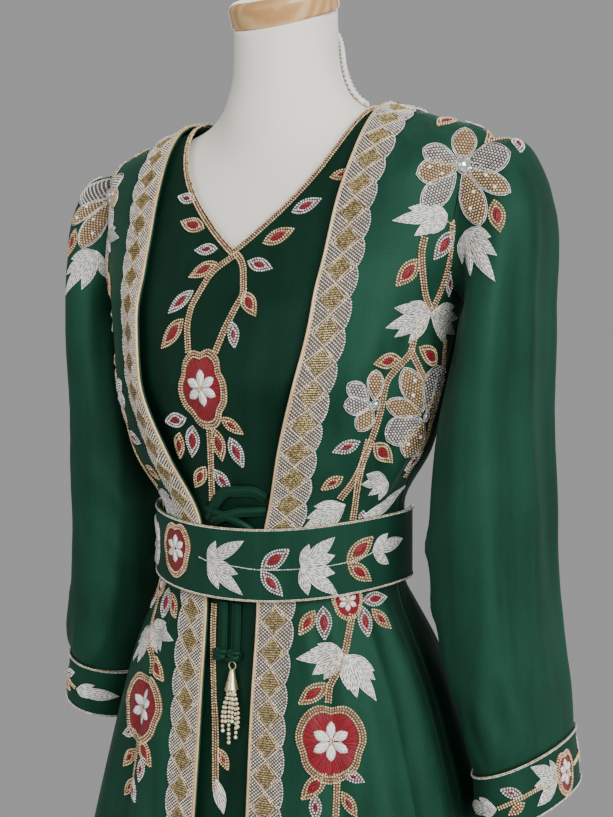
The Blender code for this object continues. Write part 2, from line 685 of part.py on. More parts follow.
def build_back_border():
    """The same border round the back of the neck, between the shoulder seams."""
    levels = np.linspace(ROBE_COLLAR_LEVEL, TIP_LEVEL, 81)
    rows = []
    for share in (0.0, 1.0):
        row = []
        for number, angle in enumerate(np.linspace(*BACK_BORDER_ANGLES, BACK_BORDER_COLUMNS)):
            reach = BORDER_WIDTH + SCALLOP_DEPTH * (1 if number % 2 else -1)
            line = ROBE.at(np.full_like(levels, angle), levels, ROBE_OUT)
            length = np.concatenate([[0.0], np.cumsum(np.linalg.norm(np.diff(line, axis=0), axis=-1))])
            level = np.interp(reach * share, length, levels)
            row.append((angle, level))
        rows.append(row)
    chart = np.array(rows)
    points = ROBE.at(chart[..., 0], chart[..., 1], ROBE_OUT + CLOTH + BORDER_GAP)
    cloth_object("border_back_neck", points, BORDER_THICK, "silver_beads")


def armhole_loop(side_out):
    """Points round the left armhole, from its front round the shoulder tip to the back and the armpit."""
    front = armhole(PANEL_ROWS, ROBE_ARMHOLE_ANGLE)
    back = np.stack([180.0 - front[:, 0], front[:, 1]], -1)
    loop = np.concatenate([back, front[::-1][1:]])
    return ROBE.at(loop[:, 0], loop[:, 1], side_out)


def sleeve_ring(values, columns):
    """One elliptical ring of the left sleeve, starting at its outer side and turning to the back."""
    x, y, z, out, fore, tilt = values[:6]
    turn = np.radians(90.0 + np.linspace(0.0, 360.0, columns))
    lift = math.radians(tilt)
    outward = np.array([math.cos(lift), 0.0, math.sin(lift)])
    aft = np.array([0.0, 1.0, 0.0])
    centre = np.array([x, y, z])
    return centre + out * np.sin(turn)[:, None] * outward - fore * np.cos(turn)[:, None] * aft


def shifted(values, share, hang):
    """A sleeve ring moved by a share of the cuff's hang."""
    values = values.copy()
    values[0:3] += np.array(hang) * share
    return values


def sleeve_rows(levels, hang):
    """Rows of a sleeve and of its cuff, as on the wearer's left, at the given row numbers of the ring table."""
    loop = armhole_loop(ROBE_OUT + CLOTH + LAY_GAP)
    table = np.array(SLEEVE_RINGS)
    last = len(table) - 1.0
    sleeve = []
    for level, values in zip(levels, smooth_table(table, levels)):
        ring = sleeve_ring(shifted(values, (level / last) ** HANG_CURVE, hang), len(loop))
        sleeve.append(loop * values[6] + ring * (1 - values[6]))
    start = shifted(table[-1], 1.0, hang)
    end = shifted(np.array(CUFF_END), 1.0, hang)
    gap_share = CUFF_GAP / (start[2] - end[2])
    cuff = [sleeve_ring(start * (1 - share) + end * share, len(loop)) for share in (gap_share, 0.5, 1.0)]
    return np.array(sleeve), np.array(cuff)


def build_sleeves():
    """Both sleeves, open at the armhole and the cuff, and the stiffer cuff bands."""
    levels = np.concatenate([[0.0, 0.5], np.linspace(1.0, len(SLEEVE_RINGS) - 1.0, SLEEVE_ROWS)])
    sleeve, cuff = sleeve_rows(levels, LEFT_HANG)
    cloth_object("sleeve_left", sleeve, CLOTH, "green_georgette", closed=True)
    cloth_object("cuff_left", cuff, CUFF_THICK, "green_satin", closed=True)
    sleeve, cuff = sleeve_rows(levels, RIGHT_HANG)
    cloth_object("sleeve_right", mirror_side(sleeve), CLOTH, "green_georgette", closed=True)
    cloth_object("cuff_right", mirror_side(cuff), CUFF_THICK, "green_satin", closed=True)


def build_neck_trim(dress_half, chart):
    """The beaded edge of the V neck, which ends under the robe just short of each shoulder seam."""
    last = round((dress_half.shape[1] - 1) * V_SHARE)
    columns = np.arange(last + 1)
    finer = np.linspace(0, last - TRIM_SHORT, 4 * last + 1)
    read = [[np.interp(finer, columns, row[: last + 1, axis]) for axis in range(3)] for row in dress_half[:2]]
    edge, below = np.moveaxis(np.array(read), 1, -1)
    normal = DRESS.normal(*[np.interp(finer, columns, chart[0, : last + 1, axis]) for axis in range(2)])
    drop = below - edge
    drop = drop / np.linalg.norm(drop, axis=-1, keepdims=True)
    tree = surface_of(bpy.data.objects["dress_front"])
    grid = []
    for reach in (EDGE_MARGIN, NECK_TRIM_WIDTH / 2, NECK_TRIM_WIDTH):
        grid.append([laid_on(tree, spot, face, TRIM_GAP) for spot, face in zip(edge + drop * reach, normal)])
    points = np.array(grid)
    points[:, 0, 0] = 0.0
    cloth_object("neck_trim", whole(points), NECK_TRIM_THICK, "gold_beads")


def build_neck_braid():
    """A silver braid that rises from the shoulders round the back of the neck, close to the form."""
    share = np.linspace(0, 1, 25)
    angle = BRAID_ANGLES[0] + (BRAID_ANGLES[1] - BRAID_ANGLES[0]) * share
    rise = np.sin(math.pi * share) ** BRAID_ROUNDING
    level = BRAID_LOW_LEVEL + (BRAID_TOP_LEVEL - BRAID_LOW_LEVEL) * rise
    normal = FORM.normal(angle, level)
    tree = surface_of(bpy.data.objects["form_torso"])
    centre = np.array([laid_on(tree, spot, face, BRAID_GAP) for spot, face in zip(FORM.at(angle, level, 0), normal)])
    along = np.gradient(centre, axis=0)
    across = np.cross(along, normal)
    across = across / np.linalg.norm(across, axis=-1, keepdims=True) * BRAID_WIDTH / 2
    cloth_object("neck_braid", np.stack([centre + across, centre - across])[::-1], BRAID_THICK, "silver_beads")


def build_belt():
    """The stiff embroidered belt front and the plain strap that closes it behind."""
    angle, level = np.meshgrid(np.linspace(-BELT_HALF_ANGLE, BELT_HALF_ANGLE, 31), BELT_LEVELS)
    cloth_object("belt", ROBE.at(angle, level, BELT_OUT), BELT_THICK, "green_satin")
    half = STRAP_WIDTH / 2 / (BODY_RINGS[-2].side_z - BODY_RINGS[-1].side_z)
    end = BELT_HALF_ANGLE + STRAP_END_ANGLE
    angle, level = np.meshgrid(np.linspace(end, 360.0 - end, 19), [BELT_LEVELS[1] - half, BELT_LEVELS[1] + half])
    cloth_object("belt_strap", ROBE.at(angle, level, BELT_OUT), CLOTH, "green_satin")


def strap_on(name, tree, stations, width, finish):
    """A flat tie laid on the dress through chart stations, each an angle and a level."""
    share = np.linspace(0, len(stations) - 1, 3 * len(stations))
    chart = smooth_table(np.array(stations), share)
    normal = DRESS.normal(chart[:, 0], chart[:, 1])
    place = DRESS.place(chart[:, 0], chart[:, 1])
    centre = np.array([laid_on(tree, p, n, LAY_GAP) for p, n in zip(place, normal)])
    along = np.gradient(centre, axis=0)
    across = np.cross(normal, along)
    across = across / np.linalg.norm(across, axis=-1, keepdims=True) * width / 2
    rows = [centre + across * side for side in (-1.0, 0.0, 1.0)]
    laid = [[laid_on(tree, p, n, LAY_GAP) for p, n in zip(row, normal)] for row in rows]
    return cloth_object(name, np.array(laid)[::-1], TIE_THICK, finish)


def build_ties():
    """The robe's ties: a flat loop above the belt and two knotted ends below it, one with a bead tassel."""
    tree = surface_of(bpy.data.objects["dress_front"])
    strap_on("tie_loop", tree, TIE_LOOP, TIE_LOOP_WIDTH, "green_satin")
    for side, x in TIE_X.items():
        angle = math.copysign(float(DRESS.angle_of(abs(x), TIE_END_LEVELS[1])), x)
        strap_on("tie_end_" + side, tree, [(angle, level) for level in TIE_END_LEVELS], TIE_WIDTH, "green_satin")
        bpy.ops.mesh.primitive_uv_sphere_add(segments=12, ring_count=8, radius=1.0)
        knot = adopt(bpy.context.object, "tie_knot_" + side, "green_satin")
        knot.data.transform(Matrix.Diagonal((*KNOT_SIZE, 1.0)))
        knot.location = laid_on(tree, (x, -0.10, TASSEL_TOP_Z + 0.0058), (0.0, -1.0, 0.0), KNOT_SIZE[1] + LAY_GAP)


def strand_object(name, start, end):
    """A four-sided string of beads from start to end, closed at both ends."""
    start, end = Vector(start), Vector(end)
    along = end - start
    side = along.orthogonal().normalized()
    other = along.cross(side).normalized()
    count = 2 * BEADS_A_STRAND
    rows = []
    for number in range(count + 1):
        radius = BEAD_RADIUS * (1.0 if number % 2 else 0.45)
        spot = start + along * (number / count)
        ring = [spot + (side * math.cos(t) + other * math.sin(t)) * radius for t in np.linspace(0, -2 * math.pi, 5)]
        rows.append(ring)
    mesh = grid_mesh(name, np.array(rows), closed=True)
    bm = bmesh.new()
    bm.from_mesh(mesh)
    bmesh.ops.holes_fill(bm, edges=[edge for edge in bm.edges if edge.is_boundary])
    bmesh.ops.recalc_face_normals(bm, faces=bm.faces)
    bm.to_mesh(mesh)
    bm.free()
    return add_object(name, mesh, "gold_beads")


def build_tassel():
    """A gold cone under the knot of the left tie, with strings of beads fused into it."""
    tree = surface_of(bpy.data.objects["dress_front"])
    cone = turned("tassel", TASSEL_CONE, "gold_beads", steps=12)
    forward = (0.0, -1.0, 0.0)
    top = laid_on(tree, (TIE_X["left"], -0.10, TASSEL_TOP_Z), forward, 0.0062)
    low = laid_on(tree, (TIE_X["left"], -0.10, TASSEL_TOP_Z - TASSEL_LENGTH), forward, 0.0052)
    hang = (top - low).normalized()
    mesh = evaluated_mesh(cone)
    bpy.data.objects.remove(cone)
    mesh.transform(Matrix.Translation(top) @ Vector((0, 0, 1)).rotation_difference(hang).to_matrix().to_4x4())
    head = add_object("tassel", mesh, "gold_beads")
    root = top - hang * STRING_ROOT
    strings = []
    for number, (across, shorter) in enumerate(TASSEL_STRINGS):
        tip = low + Vector((across, 0.0, shorter))
        begin = root + Vector((across * 0.25, 0.0, 0.0))
        strings.append(strand_object(f"string_{number}", begin, tip))
    for string in strings:
        join = head.modifiers.new("join_" + string.name, "BOOLEAN")
        join.operation = "UNION"
        join.object = string
    joined = evaluated_mesh(head)
    head.modifiers.clear()
    head.data = joined
    for string in strings:
        bpy.data.objects.remove(string)


def build_bloom(bloom):
    """A raised beaded flower lying on its panel, with petals round a crowned middle."""
    tree = surface_of(bpy.data.objects[bloom.panel])
    body = DRESS if bloom.panel == "dress_front" else ROBE
    normal = Vector(body.normal(bloom.angle, bloom.level))
    right = Vector((0.0, 0.0, 1.0)).cross(-normal).normalized()
    up = normal.cross(right)
    centre = Vector(body.place(bloom.angle, bloom.level))
    turn = np.linspace(0.0, 2 * math.pi, BLOOM_STEPS * max(bloom.petals, 5) + 1)
    edge = bloom.radius * (1 - bloom.lobe * (0.5 + 0.5 * np.cos(bloom.petals * turn)))
    rows = []
    for share in BLOOM_RINGS:
        row = []
        for angle, reach in zip(turn, edge):
            flat = right * math.sin(angle) * reach * share + up * math.cos(angle) * reach * share
            row.append(laid_on(tree, centre + flat, normal, bloom.gap))
        rows.append(row)
    points = np.array(rows)[:, ::-1] if normal.y < 0 else np.array(rows)
    mesh = grid_mesh(bloom.name, points, closed=True)
    bm = bmesh.new()
    bm.from_mesh(mesh)
    bmesh.ops.recalc_face_normals(bm, faces=bm.faces)
    raised = bmesh.ops.extrude_face_region(bm, geom=bm.faces[:])
    for item in raised["geom"]:
        if isinstance(item, bmesh.types.BMVert):
            away = (item.co - centre).length / bloom.radius
            item.co += normal * bloom.height * (1.0 - BLOOM_CROWN * min(1.0, away) ** 2)
    bmesh.ops.recalc_face_normals(bm, faces=bm.faces)
    bm.to_mesh(mesh)
    bm.free()
    finish = "red_thread" if "dress" in bloom.name or "skirt" in bloom.name else "silver_beads"
    add_object(bloom.name, mesh, finish)


def main():
    """Builds every piece."""
    clear_scene()
    make_materials()
    build_torso()
    build_stand()
    dress_half, dress_chart = build_dress()
    front = build_robe()
    build_borders(front)
    build_sleeves()
    build_neck_trim(dress_half, dress_chart)
    build_neck_braid()
    build_belt()
    bpy.context.view_layer.update()
    build_ties()
    build_tassel()
    for bloom in BLOOMS:
        build_bloom(bloom)


main()
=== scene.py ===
"""Looks of an open beaded kaftan over a V-necked dress, tied and belted, on a limbless dress form.

Metres, +Z up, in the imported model's frame: the front faces -Y and the wearer's left is +X. Cloth is laid
out on a chart of the body: an angle in degrees (0 front, 90 wearer's left, 180 back) and a level, which is a
row number of the ring tables, 0 at the collar and growing down to the hem. Beadwork is placed by pixels of
the 613 x 817 picture, cast on the cloth from the camera's viewpoint, then mirrored to the other side.
"""

from __future__ import annotations

import logging
import math
from collections.abc import Callable, Iterable, Iterator, Sequence
from contextlib import contextmanager
from dataclasses import dataclass, field, replace
from enum import Enum
from typing import Any

import bmesh
import bpy
import numpy as np
from mathutils import Matrix, Vector
from mathutils.bvhtree import BVHTree

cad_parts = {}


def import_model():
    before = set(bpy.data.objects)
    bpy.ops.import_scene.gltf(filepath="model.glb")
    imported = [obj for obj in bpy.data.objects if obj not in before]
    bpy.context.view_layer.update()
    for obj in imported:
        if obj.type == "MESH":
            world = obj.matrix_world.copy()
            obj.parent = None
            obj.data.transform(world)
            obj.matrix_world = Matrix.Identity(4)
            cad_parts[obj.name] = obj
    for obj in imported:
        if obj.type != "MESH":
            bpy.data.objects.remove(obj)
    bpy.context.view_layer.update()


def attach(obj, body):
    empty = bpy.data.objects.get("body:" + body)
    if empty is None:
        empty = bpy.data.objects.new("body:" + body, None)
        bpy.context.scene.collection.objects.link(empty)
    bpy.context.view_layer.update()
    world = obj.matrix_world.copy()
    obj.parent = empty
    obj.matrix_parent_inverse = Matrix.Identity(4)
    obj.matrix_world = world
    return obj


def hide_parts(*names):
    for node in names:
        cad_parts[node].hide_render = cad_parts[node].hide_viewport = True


LOG = logging.getLogger("kaftan")
ROOT_BODY = "root"
MIRROR = np.array([-1.0, 1.0, 1.0])

# Body rings: heights at side, front and back, half width, depth in front and behind, and the middle's Y
NECK_RINGS = (
    (1.5405, 1.5175, 1.5625, 0.0530, 0.0560, 0.0560, 0.0040),
    (1.5030, 1.4720, 1.5220, 0.0540, 0.0570, 0.0580, 0.0050),
    (1.4720, 1.4300, 1.4870, 0.0640, 0.0680, 0.0600, 0.0110),
)
BODY_RINGS = (
    (1.4520, 1.3970, 1.4660, 0.0860, 0.0780, 0.0620, 0.0180),
    (1.4320, 1.3620, 1.4380, 0.1460, 0.0940, 0.0740, 0.0240),
    (1.4080, 1.3250, 1.4020, 0.1960, 0.1110, 0.0820, 0.0260),
    (1.3400, 1.2850, 1.3450, 0.1930, 0.1240, 0.0880, 0.0220),
    (1.2680, 1.2450, 1.2800, 0.1700, 0.1340, 0.0900, 0.0140),
    (1.2000, 1.1960, 1.2050, 0.1510, 0.1330, 0.0880, 0.0060),
    (1.1350, 1.1250, 1.1400, 0.1320, 0.1080, 0.0830, 0.0000),
    (1.0720, 1.0590, 1.0780, 0.1170, 0.0920, 0.0760, 0.0000),
    (1.0060, 0.9930, 1.0120, 0.1170, 0.0920, 0.0780, 0.0000),
)
HIP_RINGS = (
    (0.9400, 0.9350, 0.9420, 0.1300, 0.0930, 0.0920, 0.0000),
    (0.8700, 0.8700, 0.8700, 0.1420, 0.0940, 0.1040, 0.0000),
    (0.8100, 0.8100, 0.8100, 0.1380, 0.0900, 0.1000, 0.0000),
)
SKIRT_RINGS = (
    (0.9000, 0.8950, 0.9020, 0.1500, 0.0980, 0.1180, 0.0000),
    (0.7200, 0.7200, 0.7200, 0.1940, 0.1160, 0.1540, 0.0000),
    (0.4700, 0.4700, 0.4700, 0.2420, 0.1660, 0.2000, 0.0000),
    (0.2200, 0.2200, 0.2200, 0.2860, 0.2280, 0.2360, 0.0000),
    (0.0350, 0.0350, 0.0350, 0.3140, 0.2755, 0.2585, 0.0000),
)

# How far the robe hangs outside the dress at the side, front and back, and how deep its folds are
NECK_EASE = ((0.003, 0.003, 0.003, 0.0),) * len(NECK_RINGS)
ROBE_EASE = (
    (0.0030, 0.0030, 0.0030, 0.0000),
    (0.0025, 0.0030, 0.0030, 0.0000),
    (0.0020, 0.0020, 0.0020, 0.0000),
    (0.0030, 0.0030, 0.0040, 0.0000),
    (0.0050, 0.0040, 0.0060, 0.0020),
    (0.0090, 0.0050, 0.0080, 0.0030),
    (0.0110, 0.0070, 0.0090, 0.0040),
    (0.0000, 0.0000, 0.0000, 0.0000),
    (0.0000, 0.0000, 0.0000, 0.0000),
    (0.0040, 0.0040, 0.0040, 0.0080),
    (0.0050, 0.0050, 0.0050, 0.0140),
    (0.0060, 0.0060, 0.0060, 0.0190),
    (0.0060, 0.0060, 0.0060, 0.0230),
    (0.0060, 0.0060, 0.0060, 0.0250),
)

# Skirt folds: the crest's angle, its half width in degrees and its height
FOLDS = (
    (27.0, 11.0, 0.70),
    (50.0, 12.0, 1.00),
    (73.0, 11.0, 0.75),
    (99.0, 13.0, 0.95),
    (125.0, 13.0, 0.80),
    (151.0, 13.0, 1.00),
    (180.0, 14.0, 0.75),
)

# The robe's front edge from the centre line, one value for each level
EDGE_X = (
    *(0.1080, 0.1010, 0.0960, 0.0930, 0.0880, 0.0780, 0.0560),
    *(0.0330, 0.0260, 0.0260, 0.0280, 0.0300, 0.0320, 0.0330),
)

# Sleeve rings: centre, half sizes outward and fore-and-aft, tilt in degrees, share of the armhole left
SLEEVE_RINGS = (
    (0.2000, 0.0140, 1.3380, 0.0700, 0.0480, 84.0, 1.00),
    (0.2150, 0.0160, 1.3340, 0.0740, 0.0560, 72.0, 0.15),
    (0.2230, 0.0200, 1.2950, 0.0600, 0.0660, 56.0, 0.00),
    (0.2190, 0.0220, 1.2300, 0.0420, 0.0750, 36.0, 0.00),
    (0.2100, 0.0220, 1.1400, 0.0440, 0.0820, 18.0, 0.00),
    (0.2090, 0.0220, 1.0500, 0.0480, 0.0860, 8.0, 0.00),
    (0.2180, 0.0220, 0.9650, 0.0460, 0.0860, 8.0, 0.00),
    (0.2330, 0.0220, 0.9000, 0.0420, 0.0820, 16.0, 0.00),
    (0.2400, 0.0220, 0.8600, 0.0410, 0.0800, 24.0, 0.00),
)
CUFF_END = (0.2440, 0.0220, 0.8100, 0.0430, 0.0800, 24.0, 0.00)

# Turned shapes: radius and height, from the top down
KNOB_PROFILE = (
    *((0.0, 0.030), (0.004, 0.0297), (0.0085, 0.0282), (0.0112, 0.0250), (0.0120, 0.0210)),
    *((0.0114, 0.0172), (0.0090, 0.0132), (0.0072, 0.0110), (0.0066, 0.0080), (0.0072, 0.0054)),
    *((0.0110, 0.0046), (0.0136, 0.0034), (0.0140, 0.0018), (0.0138, 0.0), (0.0, 0.0)),
)
CONE_PROFILE = (
    *((0.0, -0.0060), (0.0020, -0.0062), (0.0025, -0.0068), (0.0020, -0.0074), (0.0027, -0.0082)),
    *((0.0036, -0.0130), (0.0050, -0.0190), (0.0062, -0.0236), (0.0066, -0.0244), (0.0055, -0.0250)),
    (0.0, -0.0246),
)

SQUARENESS = 0.92
CLOTH = 0.0015
FORM_IN = -0.0046
DRESS_OUT = 0.0012
ROBE_OUT = DRESS_OUT + CLOTH + 0.0021
V_LEVEL = 2.35
V_CURVE = 0.95
COLLAR_LEVEL = 0.22
ROBE_COLLAR_LEVEL = 0.24
TIP_LEVEL = 2.0
ARMPIT_LEVEL = 4.0
BELT_LEVELS = (7.0, 8.0)
BELT_FADE = 0.25
HEM_LEVEL = 13.0
DRESS_ARMHOLE_ANGLE = 26.0
ROBE_ARMHOLE_ANGLE = 22.0
V_SHARE = 0.5
BACK_NECK_SHARE = 0.4


class Side(Enum):
    """The wearer's left, as modelled, or the right, which mirrors it."""

    LEFT = 1.0
    RIGHT = -1.0

    @property
    def word(self) -> str:
        """The side's word in node and piece names."""
        return self.name.lower()

    def turn(self, points: np.ndarray) -> np.ndarray:
        """Points of the left side on this side."""
        return points if self is Side.LEFT else points * MIRROR


# Shader maths


class Wire:
    """A shader value that takes part in sums and products, each of which adds a Math node."""

    def __init__(self, tree: bpy.types.NodeTree, socket: bpy.types.NodeSocket) -> None:
        """Keeps the socket and the tree it belongs to."""
        self.tree = tree
        self.socket = socket

    def math(self, operation: str, *values: Wire | float) -> Wire:
        """A Math node of an operation on this value and others."""
        return self._join(operation, self, *values)

    def _join(self, operation: str, *values: Wire | float) -> Wire:
        """A Math node of an operation on the values as given."""
        node = self.tree.nodes.new("ShaderNodeMath")
        node.operation = operation
        for socket, value in zip(node.inputs, values):
            if isinstance(value, Wire):
                self.tree.links.new(value.socket, socket)
            else:
                socket.default_value = value
        return Wire(self.tree, node.outputs[0])

    def __add__(self, other: Wire | float) -> Wire:
        """The sum."""
        return self._join("ADD", self, other)

    def __sub__(self, other: Wire | float) -> Wire:
        """The difference."""
        return self._join("SUBTRACT", self, other)

    def __rsub__(self, other: float) -> Wire:
        """A number less this value."""
        return self._join("SUBTRACT", other, self)

    def __mul__(self, other: Wire | float) -> Wire:
        """The product."""
        return self._join("MULTIPLY", self, other)

    def between(self, low: float, high: float) -> Wire:
        """Rises smoothly from 0 at low to 1 at high."""
        node = self.tree.nodes.new("ShaderNodeMapRange")
        node.interpolation_type = "SMOOTHSTEP"
        self.tree.links.new(self.socket, node.inputs["Value"])
        node.inputs["From Min"].default_value = low
        node.inputs["From Max"].default_value = high
        return Wire(self.tree, node.outputs["Result"])


class Canvas:
    """A node tree in the making."""

    tree: bpy.types.NodeTree

    def node(self, kind: str, settings: dict[str, Any], sockets: dict[str | int, Any],
             output: str | int = 0) -> Wire:
        """Adds a node.

        Args:
            kind: The node's type.
            settings: Properties of the node, set first.
            sockets: Values, colours or Wires for its inputs, by name or number.
            output: The output that is returned.

        Returns:
            The output as a Wire.
        """
        node = self.tree.nodes.new(kind)
        for key, value in settings.items():
            setattr(node, key, value)
        for key, value in sockets.items():
            if isinstance(value, Wire):
                self.tree.links.new(value.socket, node.inputs[key])
            else:
                node.inputs[key].default_value = value
        return Wire(self.tree, node.outputs[output])


class Recipe(Canvas):
    """The node tree of one material, built around a Principled BSDF."""

    def __init__(self, name: str) -> None:
        """Starts a material.

        Args:
            name: The material's name.
        """
        self.material = bpy.data.materials.new(name)
        self.material.use_nodes = True
        self.tree = self.material.node_tree
        self.shader = self.tree.nodes["Principled BSDF"]

    def place(self) -> Wire:
        """Object coordinates, in metres."""
        return self.node("ShaderNodeTexCoord", {}, {}, "Object")

    def chart(self) -> Wire:
        """The piece's own UV map, in metres on its cloth."""
        return self.node("ShaderNodeTexCoord", {}, {}, "UV")

    def part(self, vector: Wire, axis: str) -> Wire:
        """One axis of a vector."""
        return self.node("ShaderNodeSeparateXYZ", {}, {0: vector}, axis)

    def stretch(self, vector: Wire, scale: tuple[float, float, float], turn: float = 0.0) -> Wire:
        """A vector scaled, and turned round Z by degrees."""
        sockets = {"Vector": vector, "Scale": scale, "Rotation": (0.0, 0.0, math.radians(turn))}
        return self.node("ShaderNodeMapping", {}, sockets)

    def noise(self, vector: Wire, scale: float, detail: float = 2.0) -> Wire:
        """Cloudy values from 0 to 1."""
        return self.node("ShaderNodeTexNoise", {}, {"Vector": vector, "Scale": scale, "Detail": detail})

    def bands(self, vector: Wire, scale: float, distortion: float = 0.0) -> Wire:
        """Sine bands along the vector's X."""
        settings = {"wave_type": "BANDS", "bands_direction": "X", "wave_profile": "SIN"}
        sockets = {"Vector": vector, "Scale": scale, "Distortion": distortion}
        return self.node("ShaderNodeTexWave", settings, sockets, 1)

    def blend(self, share: Wire | float, low: Any, high: Any) -> Wire:
        """A colour between two colours."""
        sockets = {0: share, 6: self.colour(low), 7: self.colour(high)}
        return self.node("ShaderNodeMix", {"data_type": "RGBA"}, sockets, 2)

    @staticmethod
    def colour(value: Any) -> Any:
        """A colour with its alpha, or a Wire as it is."""
        return value if isinstance(value, Wire) else (*value, 1.0)

    def bump(self, height: Wire, strength: float, distance: float, below: Wire | None = None) -> Wire:
        """A normal from a height."""
        sockets: dict[str | int, Any] = {"Height": height, "Strength": strength, "Distance": distance}
        if below is not None:
            sockets["Normal"] = below
        return self.node("ShaderNodeBump", {}, sockets)

    def done(self, **sockets: Any) -> bpy.types.Material:
        """Sets the shader's sockets, named with underscores, and gives the material."""
        for key, value in sockets.items():
            socket = self.shader.inputs[key.replace("_", " ")]
            if isinstance(value, Wire):
                self.tree.links.new(value.socket, socket)
            else:
                socket.default_value = (*value, 1.0) if isinstance(value, tuple) else value
        return self.material


@dataclass(frozen=True)
class Crepe:
    """Crepe cloth: a pebbled weave with a soft sheen and faint cloudy shading."""

    name: str
    shade: tuple[float, float, float]
    light: tuple[float, float, float]
    sheen: float = 0.25
    roughness: float = 0.62
    grain: float = 900.0

    def make(self) -> bpy.types.Material:
        """The material."""
        recipe = Recipe(self.name)
        place = recipe.place()
        clouds = recipe.noise(place, 9.0, 3.0)
        streaks = recipe.noise(recipe.stretch(place, (60.0, 60.0, 4.0)), 1.0, 3.0)
        pebbles = recipe.noise(place, self.grain, 1.0)
        threads = recipe.bands(recipe.stretch(place, (1.0, 1.0, 1.0), 38.0), 420.0, 1.5)
        tone = (clouds * 0.45 + streaks * 0.35 + pebbles * 0.2).between(0.3, 0.7)
        height = pebbles * 0.7 + threads * 0.3
        return recipe.done(
            Base_Color=recipe.blend(tone, self.shade, self.light),
            Roughness=streaks.between(0.2, 0.8) * 0.12 + (self.roughness - 0.06),
            Normal=recipe.bump(height, 0.35, 0.0004),
            Sheen_Weight=self.sheen,
            Sheen_Roughness=0.45,
            Sheen_Tint=(0.30, 0.90, 0.58),
            Specular_IOR_Level=0.30,
            Specular_Tint=(0.35, 0.95, 0.65),
        )


@dataclass(frozen=True)
class Jersey:
    """Fine cream knit stretched over the padded form."""

    name: str
    shade: tuple[float, float, float]
    light: tuple[float, float, float]

    def make(self) -> bpy.types.Material:
        """The material."""
        recipe = Recipe(self.name)
        place = recipe.place()
        ribs = recipe.bands(place, 260.0, 0.4)
        fuzz = recipe.noise(place, 1400.0, 1.0)
        clouds = recipe.noise(place, 7.0, 3.0)
        return recipe.done(
            Base_Color=recipe.blend(clouds * 0.7 + fuzz * 0.3, self.shade, self.light),
            Roughness=fuzz * 0.1 + 0.8,
            Normal=recipe.bump(ribs * 0.5 + fuzz * 0.5, 0.18, 0.0003),
            Sheen_Weight=0.15,
            Specular_IOR_Level=0.25,
        )


@dataclass(frozen=True)
class Grain:
    """Pale turned wood under varnish, with drawn-out figure and fine pores."""

    name: str
    shade: tuple[float, float, float]
    light: tuple[float, float, float]

    def make(self) -> bpy.types.Material:
        """The material."""
        recipe = Recipe(self.name)
        place = recipe.place()
        figure = recipe.noise(recipe.stretch(place, (14.0, 70.0, 30.0)), 1.0, 4.0)
        rings = recipe.bands(recipe.stretch(place, (1.0, 1.0, 1.0), 76.0), 26.0, 6.0)
        pores = recipe.noise(recipe.stretch(place, (90.0, 1100.0, 500.0)), 1.0, 2.0)
        tone = figure * 0.55 + rings * 0.25 + pores * 0.2
        return recipe.done(
            Base_Color=recipe.blend(tone.between(0.3, 0.72), self.shade, self.light),
            Roughness=pores * 0.12 + 0.3,
            Normal=recipe.bump(pores, 0.1, 0.0003),
            Coat_Weight=0.35,
            Coat_Roughness=0.18,
        )


@dataclass(frozen=True)
class Enamel:
    """Satin paint on metal, with a faint orange peel."""

    name: str
    color: tuple[float, float, float]
    roughness: float = 0.35
    metallic: float = 0.6
    worn: float = 1.6

    def make(self) -> bpy.types.Material:
        """The material."""
        recipe = Recipe(self.name)
        place = recipe.place()
        peel = recipe.noise(place, 300.0, 2.0)
        wear = recipe.noise(place, 12.0, 4.0)
        lighter = tuple(value * self.worn for value in self.color)
        return recipe.done(
            Base_Color=recipe.blend(wear.between(0.35, 0.8), self.color, lighter),
            Roughness=wear * 0.15 + (self.roughness - 0.07),
            Normal=recipe.bump(peel, 0.08, 0.0003),
            Metallic=self.metallic,
        )


@dataclass(frozen=True)
class GlassBead:
    """Small lined glass beads: each one its own tint, bright and shiny."""

    name: str
    dark: tuple[float, float, float]
    light: tuple[float, float, float]
    metallic: float = 0.55
    roughness: float = 0.24
    patch: float = 620.0

    def make(self) -> bpy.types.Material:
        """The material."""
        recipe = Recipe(self.name)
        place = recipe.place()
        tint = recipe.node("ShaderNodeTexVoronoi", {}, {"Vector": place, "Scale": self.patch}, "Color")
        tone = recipe.part(tint, "X")
        return recipe.done(
            Base_Color=recipe.blend(tone, self.dark, self.light),
            Roughness=tone * 0.15 + (self.roughness - 0.05),
            Metallic=self.metallic,
            Coat_Weight=0.4,
            Coat_Roughness=0.12,
        )


@dataclass(frozen=True)
class SatinStitch:
    """Silk laid side by side: fine ridges that run out from the middle of a petal, with a silky gloss. The
    valleys between the ridges are painted in the darker shade colour, as painted shade.
    """

    name: str
    shade: tuple[float, float, float]
    light: tuple[float, float, float]
    pitch: float = 0.0020
    slant: float = 0.32
    roughness: float = 0.52

    def make(self) -> bpy.types.Material:
        """The material."""
        recipe = Recipe(self.name)
        chart = recipe.chart()
        across = recipe.part(chart, "X").math("ABSOLUTE")
        along = recipe.part(chart, "Y")
        wobble = recipe.noise(chart, 160.0, 2.0)
        run = (across - along * self.slant + wobble * 0.0016) * (2 * math.pi / self.pitch)
        ridge = run.math("SINE") * 0.5 + 0.5
        # Painted shade: the valleys between the ridges take the darker shade colour, the crests the lighter
        # one.
        tone = (ridge * 0.8 + wobble * 0.2).between(0.16, 0.58)
        return recipe.done(
            Base_Color=recipe.blend(tone, self.shade, self.light),
            Roughness=ridge * -0.1 + (self.roughness + 0.05),
            Normal=recipe.bump(ridge, 0.6, 0.0005),
            Sheen_Weight=0.1,
            Specular_IOR_Level=0.3,
        )


